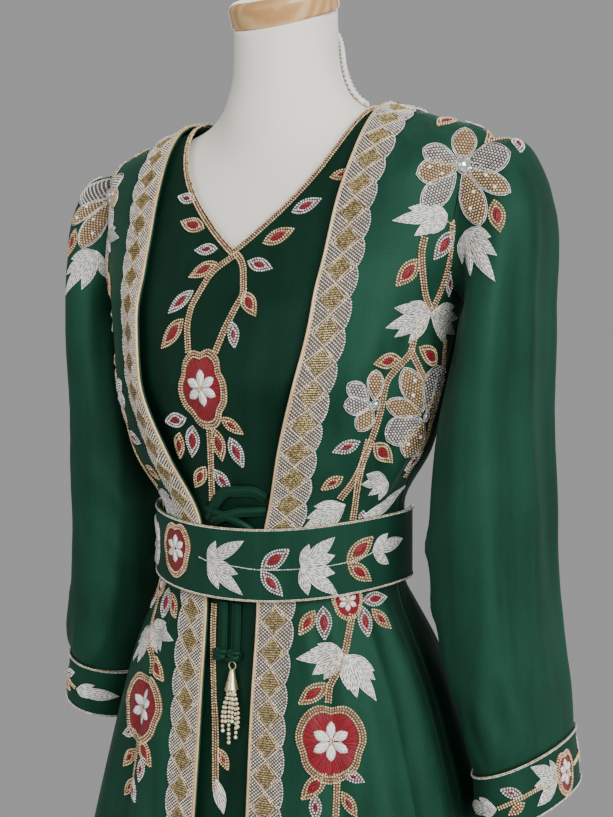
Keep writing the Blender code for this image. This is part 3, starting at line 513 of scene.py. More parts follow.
@dataclass(frozen=True)
class BackingCloth:
    """Tulle under close beading, its warm tone painted dark as shade in the gaps between the beads."""

    name: str
    shade: tuple[float, float, float]
    light: tuple[float, float, float]
    mesh: float = 0.0012

    def make(self) -> bpy.types.Material:
        """The material."""
        recipe = Recipe(self.name)
        place = recipe.place()
        sockets = {"Vector": place, "Scale": 1.0 / self.mesh}
        cells = recipe.node("ShaderNodeTexVoronoi", {}, sockets, "Distance")
        clouds = recipe.noise(place, 60.0, 2.0)
        # Painted shade: the dark base colour stands for the shade in the gaps between the beads.
        return recipe.done(
            Base_Color=recipe.blend(cells * 0.6 + clouds * 0.4, self.shade, self.light),
            Roughness=clouds * 0.1 + 0.7,
            Normal=recipe.bump(cells, 0.5, 0.0005),
        )


@dataclass(frozen=True)
class CutCrystal:
    """A foiled crystal: near white, mirror bright on every facet."""

    name: str
    color: tuple[float, float, float]

    def make(self) -> bpy.types.Material:
        """The material."""
        recipe = Recipe(self.name)
        sockets = {"Vector": recipe.place(), "Scale": 300.0}
        tint = recipe.node("ShaderNodeTexVoronoi", {}, sockets, "Color")
        tone = recipe.part(tint, "X")
        return recipe.done(
            Base_Color=recipe.blend(tone, tuple(value * 0.55 for value in self.color), self.color),
            Roughness=tone * 0.08 + 0.04,
            Metallic=0.75,
            Coat_Weight=1.0,
            Coat_Roughness=0.03,
        )


@dataclass(frozen=True)
class Twist:
    """Cord of twisted thread or drawn metal, with fine turns and uneven gloss."""

    name: str
    shade: tuple[float, float, float]
    light: tuple[float, float, float]
    metallic: float = 0.3
    roughness: float = 0.4
    turns: float = 900.0

    def make(self) -> bpy.types.Material:
        """The material."""
        recipe = Recipe(self.name)
        place = recipe.place()
        fibre = recipe.noise(recipe.stretch(place, (1.0, 1.0, 1.6), 30.0), self.turns, 2.0)
        clouds = recipe.noise(place, 40.0, 2.0)
        return recipe.done(
            Base_Color=recipe.blend((fibre * 0.7 + clouds * 0.3).between(0.3, 0.7), self.shade, self.light),
            Roughness=fibre * 0.15 + (self.roughness - 0.07),
            Normal=recipe.bump(fibre, 0.5, 0.0004),
            Metallic=self.metallic,
        )


ROBE_CREPE = Crepe("robe_georgette", (0.0034, 0.0205, 0.0112), (0.0098, 0.0480, 0.0285), sheen=0.05)
DRESS_CREPE = Crepe(
    "dress_crepe", (0.0008, 0.0074, 0.0036), (0.0026, 0.0180, 0.0096), sheen=0.04, roughness=0.55
)
BELT_CREPE = Crepe(
    "belt_satin_back", (0.0030, 0.0200, 0.0108), (0.0080, 0.0410, 0.0245), sheen=0.06, grain=1300.0
)
TIE_CREPE = Crepe("tie_crepe", (0.0018, 0.0140, 0.0072), (0.0048, 0.0300, 0.0170), sheen=0.06, roughness=0.5)
FORM_JERSEY = Jersey("form_jersey", (0.830, 0.780, 0.670), (0.900, 0.868, 0.780))
CAP_WOOD = Grain("cap_beech", (0.520, 0.265, 0.095), (0.740, 0.470, 0.220))
KNOB_WOOD = Grain("knob_walnut", (0.045, 0.020, 0.012), (0.120, 0.055, 0.030))
STAND_PAINT = Enamel("stand_satin_black", (0.022, 0.022, 0.024))
FLOOR_PAINT = Enamel("floor_pale_matte", (0.600, 0.600, 0.595), 0.8, 0.0, 1.04)
SILVER_BEADS = GlassBead("silver_lined_beads", (0.420, 0.410, 0.400), (0.960, 0.955, 0.930), metallic=0.15)
LATTICE_BEADS = GlassBead("lattice_beads", (0.500, 0.440, 0.360), (0.960, 0.920, 0.850), metallic=0.10)
GOLD_BEADS = GlassBead("gold_lined_beads", (0.440, 0.285, 0.130), (0.950, 0.760, 0.470), metallic=0.20)
STRUNG_BEADS = GlassBead("pale_gold_beads", (0.560, 0.430, 0.210), (0.950, 0.850, 0.600), metallic=0.25)
ROSE_BEADS = GlassBead("rose_gold_beads", (0.260, 0.140, 0.080), (0.760, 0.510, 0.320), metallic=0.20)
BRONZE_BUGLES = GlassBead("bronze_bugles", (0.160, 0.110, 0.030), (0.620, 0.490, 0.230), 0.35)
PEARL_BEADS = GlassBead(
    "pearl_beads", (0.800, 0.780, 0.720), (0.980, 0.960, 0.920), metallic=0.1, roughness=0.15
)
# The shade colours of these silks are painted shade in the valleys between their stitch ridges.
RED_SILK = SatinStitch("crimson_silk", (0.030, 0.001, 0.003), (0.300, 0.004, 0.015), 0.0020)
WHITE_SILK = SatinStitch("ivory_silk", (0.100, 0.115, 0.085), (0.780, 0.755, 0.670), 0.0021)
PETAL_SILK = SatinStitch("white_satin", (0.520, 0.520, 0.500), (0.900, 0.895, 0.870), 0.0026, roughness=0.35)
PIPING_CORD = Twist("champagne_piping", (0.480, 0.310, 0.140), (0.880, 0.680, 0.400))
SILVER_CORD = Twist("silver_plait", (0.560, 0.550, 0.520), (0.940, 0.930, 0.900), metallic=0.1)
CONE_METAL = Twist("tassel_cone_gold", (0.560, 0.430, 0.230), (0.900, 0.780, 0.520), 0.85, 0.28, 300.0)
# Backings under the beads, painted dark as shade in the gaps between the beads.
SILVER_SHADED_BACKING = BackingCloth("silver_backing", (0.030, 0.022, 0.016), (0.130, 0.100, 0.075))
GOLD_SHADED_BACKING = BackingCloth("gold_backing", (0.050, 0.026, 0.013), (0.180, 0.105, 0.050))
CRYSTAL = CutCrystal("foiled_crystal", (0.900, 0.930, 0.970))


class Palette:
    """The materials, each made once."""

    def __init__(self) -> None:
        """Starts empty."""
        self.made: dict[str, bpy.types.Material] = {}

    def of(self, finish: Any) -> bpy.types.Material:
        """The material of a finish."""
        if finish.name not in self.made:
            self.made[finish.name] = finish.make()
        return self.made[finish.name]


PALETTE = Palette()


# The body's chart


def smooth_table(rows: np.ndarray, at: np.ndarray) -> np.ndarray:
    """Reads a table between its rows, through a curve that never overshoots.

    Args:
        rows: Values, one row for each whole number.
        at: The row numbers to read, whole or not.

    Returns:
        The values at those row numbers.
    """
    rows = np.asarray(rows, float)
    at = np.clip(np.asarray(at, float), 0.0, len(rows) - 1.0)
    step = np.diff(rows, axis=0)
    slope = np.zeros_like(rows)
    product = step[:-1] * step[1:]
    total = step[:-1] + step[1:]
    slope[1:-1] = np.where(product > 0, 2 * product / np.where(total == 0, 1, total), 0)
    slope[0], slope[-1] = step[0], step[-1]
    low = np.minimum(at.astype(int), len(rows) - 2)
    share = (at - low)[..., None]
    a, b, da, db = rows[low], rows[low + 1], slope[low], slope[low + 1]
    ease = share * share * (3 - 2 * share)
    return a + (b - a) * ease + da * share * (1 - share) ** 2 - db * share * share * (1 - share)


def fold_height(angle: np.ndarray) -> np.ndarray:
    """How far the skirt folds stand out at an angle, from 0 in the troughs to about 1 on a crest."""
    around = np.abs((np.asarray(angle, float) + 180.0) % 360.0 - 180.0)
    height = np.zeros_like(around)
    for crest, half_width, tall in FOLDS:
        reach = np.clip(np.abs(around - crest) / half_width, 0.0, 1.0)
        height = np.maximum(height, tall * np.cos(reach * math.pi / 2) ** 2)
    return height


@dataclass
class Body:
    """A surface round the body, given by rings and addressed by angle and level."""

    rings: Sequence[Sequence[float]]
    ease: Sequence[Sequence[float]] | None = None
    first: float = -float(len(NECK_RINGS))
    sizes: np.ndarray = field(init=False)

    def __post_init__(self) -> None:
        """Adds the ease to the rings."""
        sizes = np.array(self.rings)
        extra = np.zeros((len(sizes), 4)) if self.ease is None else np.array(self.ease)
        sizes[:, 3:6] += extra[:, 0:3]
        self.sizes = np.column_stack([sizes, extra[:, 3]])

    def values(self, level: np.ndarray) -> np.ndarray:
        """The ring's values at levels."""
        return smooth_table(self.sizes, np.asarray(level, float) - self.first)

    def place(self, angle: np.ndarray, level: np.ndarray) -> np.ndarray:
        """Points of the surface itself."""
        angle, level = np.broadcast_arrays(np.asarray(angle, float), np.asarray(level, float))
        values = np.moveaxis(self.values(level), -1, 0)
        side_z, front_z, back_z, half_width, front, back, middle, fold = values
        turn = np.radians(angle)
        across, along = np.sin(turn), np.cos(turn)
        grown = fold * fold_height(angle)
        x = (half_width + grown) * np.sign(across) * np.abs(across) ** SQUARENESS
        depth = np.where(along > 0, front, back) + grown
        y = middle - depth * np.sign(along) * np.abs(along) ** SQUARENESS
        z = side_z + (np.where(along > 0, front_z, back_z) - side_z) * along**2
        return np.stack([x, y, z], -1)

    def normal(self, angle: np.ndarray, level: np.ndarray) -> np.ndarray:
        """Outward unit normals, from neighbouring points."""
        angle, level = np.broadcast_arrays(np.asarray(angle, float), np.asarray(level, float))
        turn, drop = 1.0, 0.02
        round_it = self.place(angle + turn, level) - self.place(angle - turn, level)
        down = self.place(angle, level + drop) - self.place(angle, level - drop)
        return unit(np.cross(down, round_it))

    def at(self, angle: np.ndarray, level: np.ndarray, out: np.ndarray | float = 0.0) -> np.ndarray:
        """Points moved out from the surface by a distance."""
        out = np.asarray(out, float)
        return self.place(angle, level) + self.normal(angle, level) * (out[..., None] if out.ndim else out)

    def reach(self, angle: np.ndarray, level: np.ndarray) -> np.ndarray:
        """How far from the centre line the ring is at an angle up to 90, without its folds."""
        return self.values(level)[..., 3] * np.sin(np.radians(angle)) ** SQUARENESS

    def angle_of(self, x: np.ndarray, level: np.ndarray) -> np.ndarray:
        """The angle at which the ring is x from the centre line."""
        share = np.clip(np.asarray(x) / self.values(level)[..., 3], 0.0, 1.0)
        return np.degrees(np.arcsin(share ** (1 / SQUARENESS)))


FORM = Body(NECK_RINGS + BODY_RINGS + HIP_RINGS)
DRESS = Body(NECK_RINGS + BODY_RINGS + SKIRT_RINGS)
ROBE = Body(NECK_RINGS + BODY_RINGS + SKIRT_RINGS, NECK_EASE + ROBE_EASE)
ChartSide = Callable[[np.ndarray], np.ndarray]


def armhole(share: np.ndarray, half_angle: float) -> np.ndarray:
    """Chart points of an armhole's front edge, from the shoulder tip at 0 to the armpit at 1."""
    share = np.asarray(share, float)
    angle = 90.0 - half_angle * np.sqrt(np.clip(np.sin(math.pi * share), 0.0, 1.0))
    return np.stack([angle, TIP_LEVEL + (ARMPIT_LEVEL - TIP_LEVEL) * share], -1)


def seam(start_level: float, share: np.ndarray) -> np.ndarray:
    """Chart points of the shoulder seam, from the neck at 0 to the shoulder tip at 1."""
    level = start_level + (TIP_LEVEL - start_level) * np.asarray(share, float)
    return np.stack([np.full_like(level, 90.0), level], -1)


def straight(start: tuple[float, float], end: tuple[float, float], share: np.ndarray) -> np.ndarray:
    """Chart points on a line."""
    share = np.asarray(share, float)[..., None]
    return np.asarray(start, float) * (1 - share) + np.asarray(end, float) * share


@dataclass
class Patch:
    """A four-sided patch of chart, each side a function of a share from 0 to 1."""

    body: Body
    top: ChartSide
    bottom: ChartSide
    near: ChartSide
    far: ChartSide

    def laid(self, side: ChartSide, share: np.ndarray) -> np.ndarray:
        """A side's points as distance from the centre line and level."""
        chart = side(share)
        return np.stack([self.body.reach(chart[..., 0], chart[..., 1]), chart[..., 1]], -1)

    def grid(self, across: np.ndarray, down: np.ndarray) -> np.ndarray:
        """Chart points blended between the four sides."""
        u, v = np.meshgrid(across, down)
        ends = np.zeros(1), np.ones(1)
        rows = self.laid(self.top, u) * (1 - v[..., None]) + self.laid(self.bottom, u) * v[..., None]
        columns = self.laid(self.near, v) * (1 - u[..., None]) + self.laid(self.far, v) * u[..., None]
        corners = [self.laid(side, end) for side in (self.top, self.bottom) for end in ends]
        upper = corners[0] * (1 - u[..., None]) + corners[1] * u[..., None]
        lower = corners[2] * (1 - u[..., None]) + corners[3] * u[..., None]
        blend = rows + columns - upper * (1 - v[..., None]) - lower * v[..., None]
        return np.stack([self.body.angle_of(blend[..., 0], blend[..., 1]), blend[..., 1]], -1)


def off_belt(level: np.ndarray) -> np.ndarray:
    """0 under the belt, rising to 1 a little above and below it."""
    low, high = BELT_LEVELS
    away = np.abs(level - (low + high) / 2) - (high - low) / 2
    return np.clip(away / BELT_FADE, 0.0, 1.0)[..., None]


def edge_angle(level: np.ndarray) -> np.ndarray:
    """The angle of the robe's front edge at a level."""
    return ROBE.angle_of(smooth_table(np.array(EDGE_X)[:, None], level)[..., 0], level)


@dataclass
class Cut:
    """How finely a panel is cut into quads."""

    columns: int = 45
    upper_rows: int = 26
    lower_rows: int = 74

    @property
    def across(self) -> np.ndarray:
        """Shares of the panel's width."""
        return np.linspace(0, 1, self.columns)

    @property
    def down(self) -> np.ndarray:
        """Shares of the part above the armpit, closer together at the seams."""
        return np.linspace(0, 1, self.upper_rows) ** 1.6

    @property
    def levels(self) -> np.ndarray:
        """Levels below the armpit."""
        return np.linspace(ARMPIT_LEVEL, HEM_LEVEL, self.lower_rows)[1:]


def robe_front_chart(cut: Cut) -> np.ndarray:
    """Chart rows of the wearer's left robe front, from its edge to the armhole and side seam."""

    def edge(share: np.ndarray) -> np.ndarray:
        level = ROBE_COLLAR_LEVEL + (ARMPIT_LEVEL - ROBE_COLLAR_LEVEL) * np.asarray(share, float)
        return np.stack([edge_angle(level), level], -1)

    foot = tuple(edge(1.0))
    patch = Patch(
        ROBE,
        lambda u: seam(ROBE_COLLAR_LEVEL, u),
        lambda u: straight(foot, (90.0, ARMPIT_LEVEL), u),
        edge,
        lambda v: armhole(v, ROBE_ARMHOLE_ANGLE),
    )
    lower = [straight((float(edge_angle(level)), level), (90.0, level), cut.across) for level in cut.levels]
    return np.concatenate([patch.grid(cut.across, cut.down), np.array(lower)])


def dress_front_chart(cut: Cut) -> np.ndarray:
    """Chart rows of the left half of the dress front, from the centre to the armhole and side seam."""
    neck_x = DRESS.values(COLLAR_LEVEL)[3]

    def top(u: np.ndarray) -> np.ndarray:
        u = np.asarray(u, float)
        climb = 1.0 - (1.0 - np.clip(u / V_SHARE, 0.0, 1.0)) ** 2
        level = V_LEVEL + (COLLAR_LEVEL - V_LEVEL) * climb
        v_edge = np.stack([DRESS.angle_of(neck_x * climb**V_CURVE, level), level], -1)
        shoulder = seam(COLLAR_LEVEL, np.clip((u - V_SHARE) / (1 - V_SHARE), 0.0, 1.0))
        return np.where((u >= V_SHARE)[..., None], shoulder, v_edge)

    patch = Patch(
        DRESS,
        top,
        lambda u: straight((0.0, ARMPIT_LEVEL), (90.0, ARMPIT_LEVEL), u),
        lambda v: straight((0.0, V_LEVEL), (0.0, ARMPIT_LEVEL), v),
        lambda v: armhole(v, DRESS_ARMHOLE_ANGLE),
    )
    lower = [straight((0.0, level), (90.0, level), cut.across) for level in cut.levels]
    return np.concatenate([patch.grid(cut.across, cut.down), np.array(lower)])


def back_chart(body: Body, cut: Cut, armhole_angle: float, collar_level: float) -> np.ndarray:
    """Chart rows of the left half of a back, from the centre back to the armhole and side seam."""

    def top(u: np.ndarray) -> np.ndarray:
        u = np.asarray(u, float)
        neck = straight((0.0, collar_level), (90.0, collar_level), np.clip(u / BACK_NECK_SHARE, 0.0, 1.0))
        shoulder = seam(collar_level, np.clip((u - BACK_NECK_SHARE) / (1 - BACK_NECK_SHARE), 0.0, 1.0))
        return np.where((u >= BACK_NECK_SHARE)[..., None], shoulder, neck)

    patch = Patch(
        body,
        top,
        lambda u: straight((0.0, ARMPIT_LEVEL), (90.0, ARMPIT_LEVEL), u),
        lambda v: straight((0.0, collar_level), (0.0, ARMPIT_LEVEL), v),
        lambda v: armhole(v, armhole_angle),
    )
    lower = [straight((0.0, level), (90.0, level), cut.across) for level in cut.levels]
    chart = np.concatenate([patch.grid(cut.across, cut.down), np.array(lower)])
    chart[..., 0] = 180.0 - chart[..., 0]
    return chart


def whole(half: np.ndarray) -> np.ndarray:
    """A full panel from its left half, whose first column lies on the centre line."""
    return np.concatenate([half[:, :0:-1] * MIRROR, half], axis=1)


def mirror_grid(points: np.ndarray) -> np.ndarray:
    """The same grid on the wearer's other side, its columns turned round so that it still faces out."""
    return points[:, ::-1] * MIRROR


def bilinear(table: np.ndarray, row: np.ndarray, column: np.ndarray) -> np.ndarray:
    """A table of points read between its rows and columns."""
    r = np.minimum(row.astype(int), len(table) - 2)
    c = np.minimum(column.astype(int), table.shape[1] - 2)
    down, across = (row - r)[..., None], (column - c)[..., None]
    upper = table[r, c] * (1 - across) + table[r, c + 1] * across
    lower = table[r + 1, c] * (1 - across) + table[r + 1, c + 1] * across
    return upper * (1 - down) + lower * down


def unit(vectors: np.ndarray) -> np.ndarray:
    """Vectors at length 1."""
    return vectors / np.linalg.norm(vectors, axis=-1, keepdims=True)


def row_lengths(points: np.ndarray) -> np.ndarray:
    """Length along each row of points, from its first."""
    steps = np.linalg.norm(np.diff(points, axis=1), axis=-1)
    return np.concatenate([np.zeros((len(points), 1)), np.cumsum(steps, axis=1)], axis=1)


# Meshes


@contextmanager
def editing(mesh: bpy.types.Mesh) -> Iterator[bmesh.types.BMesh]:
    """Opens a mesh for changes, writes them back and smooths it."""
    bm = bmesh.new()
    bm.from_mesh(mesh)
    yield bm
    bm.to_mesh(mesh)
    bm.free()
    mesh.shade_smooth()


def linked(name: str, data: Any) -> bpy.types.Object:
    """An object of the scene that shows some data."""
    thing = bpy.data.objects.new(name, data)
    bpy.context.scene.collection.objects.link(thing)
    return thing


def quad_corners(rows: int, columns: int) -> np.ndarray:
    """The quads of a grid, each as four point numbers."""
    index = np.arange(rows * columns).reshape(rows, columns)
    corners = (index[:-1, :-1], index[1:, :-1], index[1:, 1:], index[:-1, 1:])
    return np.stack([corner.ravel() for corner in corners], -1)


def unit_ring(steps: int) -> np.ndarray:
    """Points round a circle of radius 1, the last one on the first."""
    turn = np.linspace(0, math.tau, steps + 1)
    return np.stack([np.cos(turn), np.sin(turn), np.zeros_like(turn)], -1)


def grid_mesh(name: str, points: np.ndarray, closed: bool = False) -> bpy.types.Mesh:
    """A mesh of quads through a grid of points, with a UV map in metres.

    Args:
        name: The mesh's name.
        points: Rows running down and columns towards a growing angle.
        closed: Whether the first and last columns are the same.

    Returns:
        The mesh, which faces out.
    """
    rows, columns = points.shape[:2]
    faces = quad_corners(rows, columns)
    mesh = bpy.data.meshes.new(name)
    mesh.from_pydata(points.reshape(-1, 3).tolist(), [], faces.tolist())
    down = row_lengths(points.transpose(1, 0, 2)).T
    across = row_lengths(points)
    across = across - across[:, columns // 2][:, None]
    chart = np.stack([across, down], -1).reshape(-1, 2)
    layer = mesh.uv_layers.new(name="cloth")
    layer.data.foreach_set("uv", chart[faces.ravel()].ravel())
    mesh.shade_smooth()
    if closed:
        with editing(mesh) as bm:
            bmesh.ops.remove_doubles(bm, verts=bm.verts, dist=1e-6)
    return mesh


def add_piece(name: str, mesh: bpy.types.Mesh, finish: Any, slot: str, *nodes: str) -> bpy.types.Object:
    """A finished piece that rides on the root body.

    Args:
        name: The piece's name.
        mesh: Its mesh, with the place in its points.
        finish: The finish of its only material.
        slot: The record's material slot; not used.
        nodes: The CAD nodes that it stands for.

    Returns:
        The object.
    """
    mesh.materials.clear()
    mesh.materials.append(PALETTE.of(finish))
    piece = linked(name, mesh)
    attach(piece, ROOT_BODY)
    if nodes:
        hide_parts(*nodes)
    LOG.info("%s: %d faces", name, len(mesh.polygons))
    return piece


def thicken(piece: bpy.types.Object, thickness: float) -> None:
    """Gives a sheet its thickness, outwards."""
    wall = piece.modifiers.new("wall", "SOLIDIFY")
    wall.thickness = thickness
    wall.offset = 1.0


def evaluated(piece: bpy.types.Object) -> bpy.types.Mesh:
    """The piece's mesh with its modifiers."""
    graph = bpy.context.evaluated_depsgraph_get()
    return bpy.data.meshes.new_from_object(piece.evaluated_get(graph))


def turned_mesh(name: str, profile: Sequence[tuple[float, float]], steps: int) -> bpy.types.Mesh:
    """A shape turned round Z from points of radius and height that run down its outer side."""
    rows = [unit_ring(steps) * radius + np.array([0.0, 0.0, z]) for radius, z in profile]
    mesh = grid_mesh(name, np.array(rows), closed=True)
    with editing(mesh) as bm:
        bmesh.ops.dissolve_degenerate(bm, edges=bm.edges, dist=1e-7)
        bmesh.ops.recalc_face_normals(bm, faces=bm.faces)
    return mesh


def measured(points: np.ndarray) -> float:
    """The area of a grid of quads."""
    first = points[1:, :-1] - points[:-1, :-1]
    second = points[:-1, 1:] - points[:-1, :-1]
    return float(np.linalg.norm(np.cross(first, second), axis=-1).sum())


@dataclass(frozen=True)
class Crease:
    """A soft ridge in the cloth between chart stations, each an angle and a level."""

    stations: tuple[tuple[float, float], ...]
    half_width: float
    height: float
    steps: int = 28

    def lift(self, points: np.ndarray, place: Callable[[np.ndarray, np.ndarray], np.ndarray]) -> np.ndarray:
        """How far the ridge raises points of a grid.

        Args:
            points: The grid's points.
            place: Gives the surface's points at angles and levels.

        Returns:
            A height for each point.
        """
        share = np.linspace(0, len(self.stations) - 1, self.steps * len(self.stations))
        chart = smooth_table(np.array(self.stations), share)
        line = place(chart[:, 0], chart[:, 1])
        run = share / share[-1]
        away = np.linalg.norm(points[..., None, :] - line, axis=-1)
        nearest = away.argmin(axis=-1)
        swell = np.sin(math.pi * np.clip(run[nearest], 0.04, 0.96)) ** 0.6
        return self.height * swell * np.exp(-((away.min(axis=-1) / self.half_width) ** 2))


def creased(creases: Iterable[Crease], points: np.ndarray, place: Callable[..., np.ndarray]) -> np.ndarray:
    """The sum of the creases' lifts at a grid's points."""
    total = np.zeros(points.shape[:2])
    for crease in creases:
        total += crease.lift(points, place)
    return total


@dataclass
class Garment:
    """Shared sizes of the cloth shells."""

    thickness: float = 0.0010
    cut: Cut = field(default_factory=Cut)

    def sheet(self, name: str, points: np.ndarray, finish: Any, slot: str, held: str, rests_on: Sequence[str],
              size: tuple[float, float], nodes: Sequence[str], closed: bool = False) -> None:
        """Makes a panel of cloth.

        Args:
            name: The piece's name.
            points: Its inner side, row by row.
            finish: Its finish.
            slot: The record's slot; not used.
            rests_on: The nodes or pieces under it; not used.
            size: Width and length of the cloth that it is cut from.
            nodes: The CAD nodes that it stands for.
            closed: Whether its first and last columns meet.
        """
        piece = add_piece(name, grid_mesh(name, points, closed), finish, slot, *nodes)
        thicken(piece, self.thickness)
        area = min(measured(points), size[0] * size[1])
        list(rests_on)


@dataclass
class DressForm:
    """The padded torso in cream jersey, its turned cap and knob, and the pole and base that it stands on."""

    cap_tilt: float = math.radians(24.0)
    cap_radius: float = 0.0535
    cap_thick: float = 0.024
    pole_radius: float = 0.014
    base_radius: float = 0.180
    base_thick: float = 0.022
    seam: float = 0.0003
    chest_level: float = 3.0

    def neck_plane(self, y: np.ndarray | float) -> Any:
        """Height of the slanted plane that the neck is cut off at."""
        front_z, middle, front = NECK_RINGS[0][1], NECK_RINGS[0][6], NECK_RINGS[0][4]
        return front_z + (y - middle + front) * math.tan(self.cap_tilt)

    def torso(self) -> None:
        """The padded shell, closed at the neck and the seat."""
        upper = np.linspace(-len(NECK_RINGS), self.chest_level, 49)
        lower = np.linspace(self.chest_level, len(BODY_RINGS) + len(HIP_RINGS) - 1.0, 33)[1:]
        angle, level = np.meshgrid(np.linspace(-180, 180, 97), np.concatenate([upper, lower]))
        points = FORM.at(angle, level, FORM_IN)
        points[0, :, 2] = self.neck_plane(points[0, :, 1])
        mesh = grid_mesh("torso_jersey", points, closed=True)
        with editing(mesh) as bm:
            bmesh.ops.holes_fill(bm, edges=[edge for edge in bm.edges if edge.is_boundary])
            bmesh.ops.recalc_face_normals(bm, faces=bm.faces)
        add_piece("torso_jersey", mesh, FORM_JERSEY, "form_jersey", "form_torso")

    @staticmethod
    def disc(radius: float, thickness: float, rounding: float, low: float) -> list[tuple[float, float]]:
        """Profile of a disc on z 0 with a rounded upper and lower edge."""
        profile = [(0.0, thickness), (radius * 0.5, thickness), (radius - rounding * 1.4, thickness)]
        for turn in np.linspace(0, math.pi / 2, 9):
            drop = rounding * (1 - math.cos(turn))
            profile.append((radius - rounding * (1 - math.sin(turn)), thickness - drop))
        for turn in np.linspace(0, math.pi / 2, 5):
            profile.append((radius - low * (1 - math.cos(turn)), low * (1 - math.sin(turn))))
        return profile + [(radius * 0.5, 0.0), (0.0, 0.0)]

    def cap(self) -> None:
        """The turned cap on the slanted neck, and the knob on top of it."""
        lean = Matrix.Rotation(self.cap_tilt, 4, "X")
        lift = lean @ Vector((0.0, 0.0, 1.0))
        middle = NECK_RINGS[0][6]
        centre = Vector((0.0, middle, float(self.neck_plane(middle)))) + lift * self.seam
        disc = turned_mesh("neck_cap", self.disc(self.cap_radius, self.cap_thick, 0.0085, 0.003), 72)
        disc.transform(Matrix.Translation(centre) @ lean)
        add_piece("neck_cap", disc, CAP_WOOD, "cap_wood", "form_neck_cap")
        knob = turned_mesh("neck_knob", KNOB_PROFILE, 40)
        knob.transform(Matrix.Translation(centre + lift * (self.cap_thick + self.seam)) @ lean)
        add_piece("neck_knob", knob, KNOB_WOOD, "stand_metal", "form_neck_knob")

    def stand(self) -> None:
        """The pole and the round base."""
        seat, thick, radius = HIP_RINGS[-1][0], self.base_thick, self.pole_radius
        pole = [(0.0, seat - self.seam), (radius, seat - self.seam), (radius, thick + 0.052)]
        pole += [(radius - 0.0006, thick + 0.0505), (radius, thick + 0.049), (radius, thick + self.seam)]
        pole.append((0.0, thick + self.seam))
        add_piece("pole", turned_mesh("pole", pole, 48), STAND_PAINT, "stand_metal", "stand_pole")
        base = turned_mesh("base", self.disc(self.base_radius, thick, 0.006, 0.002), 96)
        add_piece("base", base, STAND_PAINT, "stand_metal", "stand_base")

    def build(self) -> None:
        """Makes every piece of the form."""
        self.torso()
        self.cap()
        self.stand()


@dataclass
class InnerDress(Garment):
    """The V-necked dress under the robe."""

    size: tuple[float, float] = (1.05, 1.45)
    creases: tuple[Crease, ...] = (
        Crease(((-34, 4.6), (-20, 5.8), (-12, 6.9)), 0.010, 0.0022),
        Crease(((-22, 4.4), (-14, 5.6), (-9, 6.9)), 0.008, 0.0016),
        Crease(((30, 4.4), (20, 5.6), (10, 6.9)), 0.010, 0.0022),
        Crease(((14, 3.2), (12, 4.8), (6, 6.6)), 0.009, 0.0014),
        Crease(((3, 5.9), (1, 6.9)), 0.005, 0.0018),
        Crease(((-3, 6.1), (-5, 6.9)), 0.004, 0.0016),
        Crease(((8, 6.0), (5, 6.9)), 0.004, 0.0018),
        Crease(((-12, 1.7), (-24, 3.6), (-30, 5.2)), 0.012, 0.0014),
        Crease(((-5, 8.1), (-4, 9.4), (-5, 12.9)), 0.006, 0.0026),
        Crease(((4, 8.1), (5, 9.6), (4, 12.9)), 0.005, 0.0024),
        Crease(((11, 8.3), (10, 9.8), (11, 12.9)), 0.006, 0.0022),
        Crease(((-11, 8.3), (-10, 9.8), (-11, 12.9)), 0.006, 0.0022),
    )

    def front(self) -> np.ndarray:
        """Points of the whole front."""
        chart = dress_front_chart(self.cut)
        half = DRESS.at(chart[..., 0], chart[..., 1], DRESS_OUT)
        full = whole(half)
        angle = np.concatenate([-chart[:, :0:-1, 0], chart[..., 0]], axis=1)
        level = np.concatenate([chart[:, :0:-1, 1], chart[..., 1]], axis=1)
        lift = creased(self.creases, full, DRESS.place)
        lift[0] = 0.0
        full += DRESS.normal(angle, level) * lift[..., None]
        return full

    def back(self) -> np.ndarray:
        """Points of the whole back."""
        chart = back_chart(DRESS, self.cut, DRESS_ARMHOLE_ANGLE, COLLAR_LEVEL)
        return whole(DRESS.at(chart[..., 0], chart[..., 1], DRESS_OUT))[:, ::-1]

    def build(self) -> np.ndarray:
        """Makes the front and the back, and gives the front's points."""
        front = self.front()
        for node, points in (("dress_front", front), ("dress_back", self.back())):
            name = f"{node}_cloth"
            self.sheet(name, points, DRESS_CREPE, "green_satin", "draped", ["form_torso"], self.size, [node])
        return front


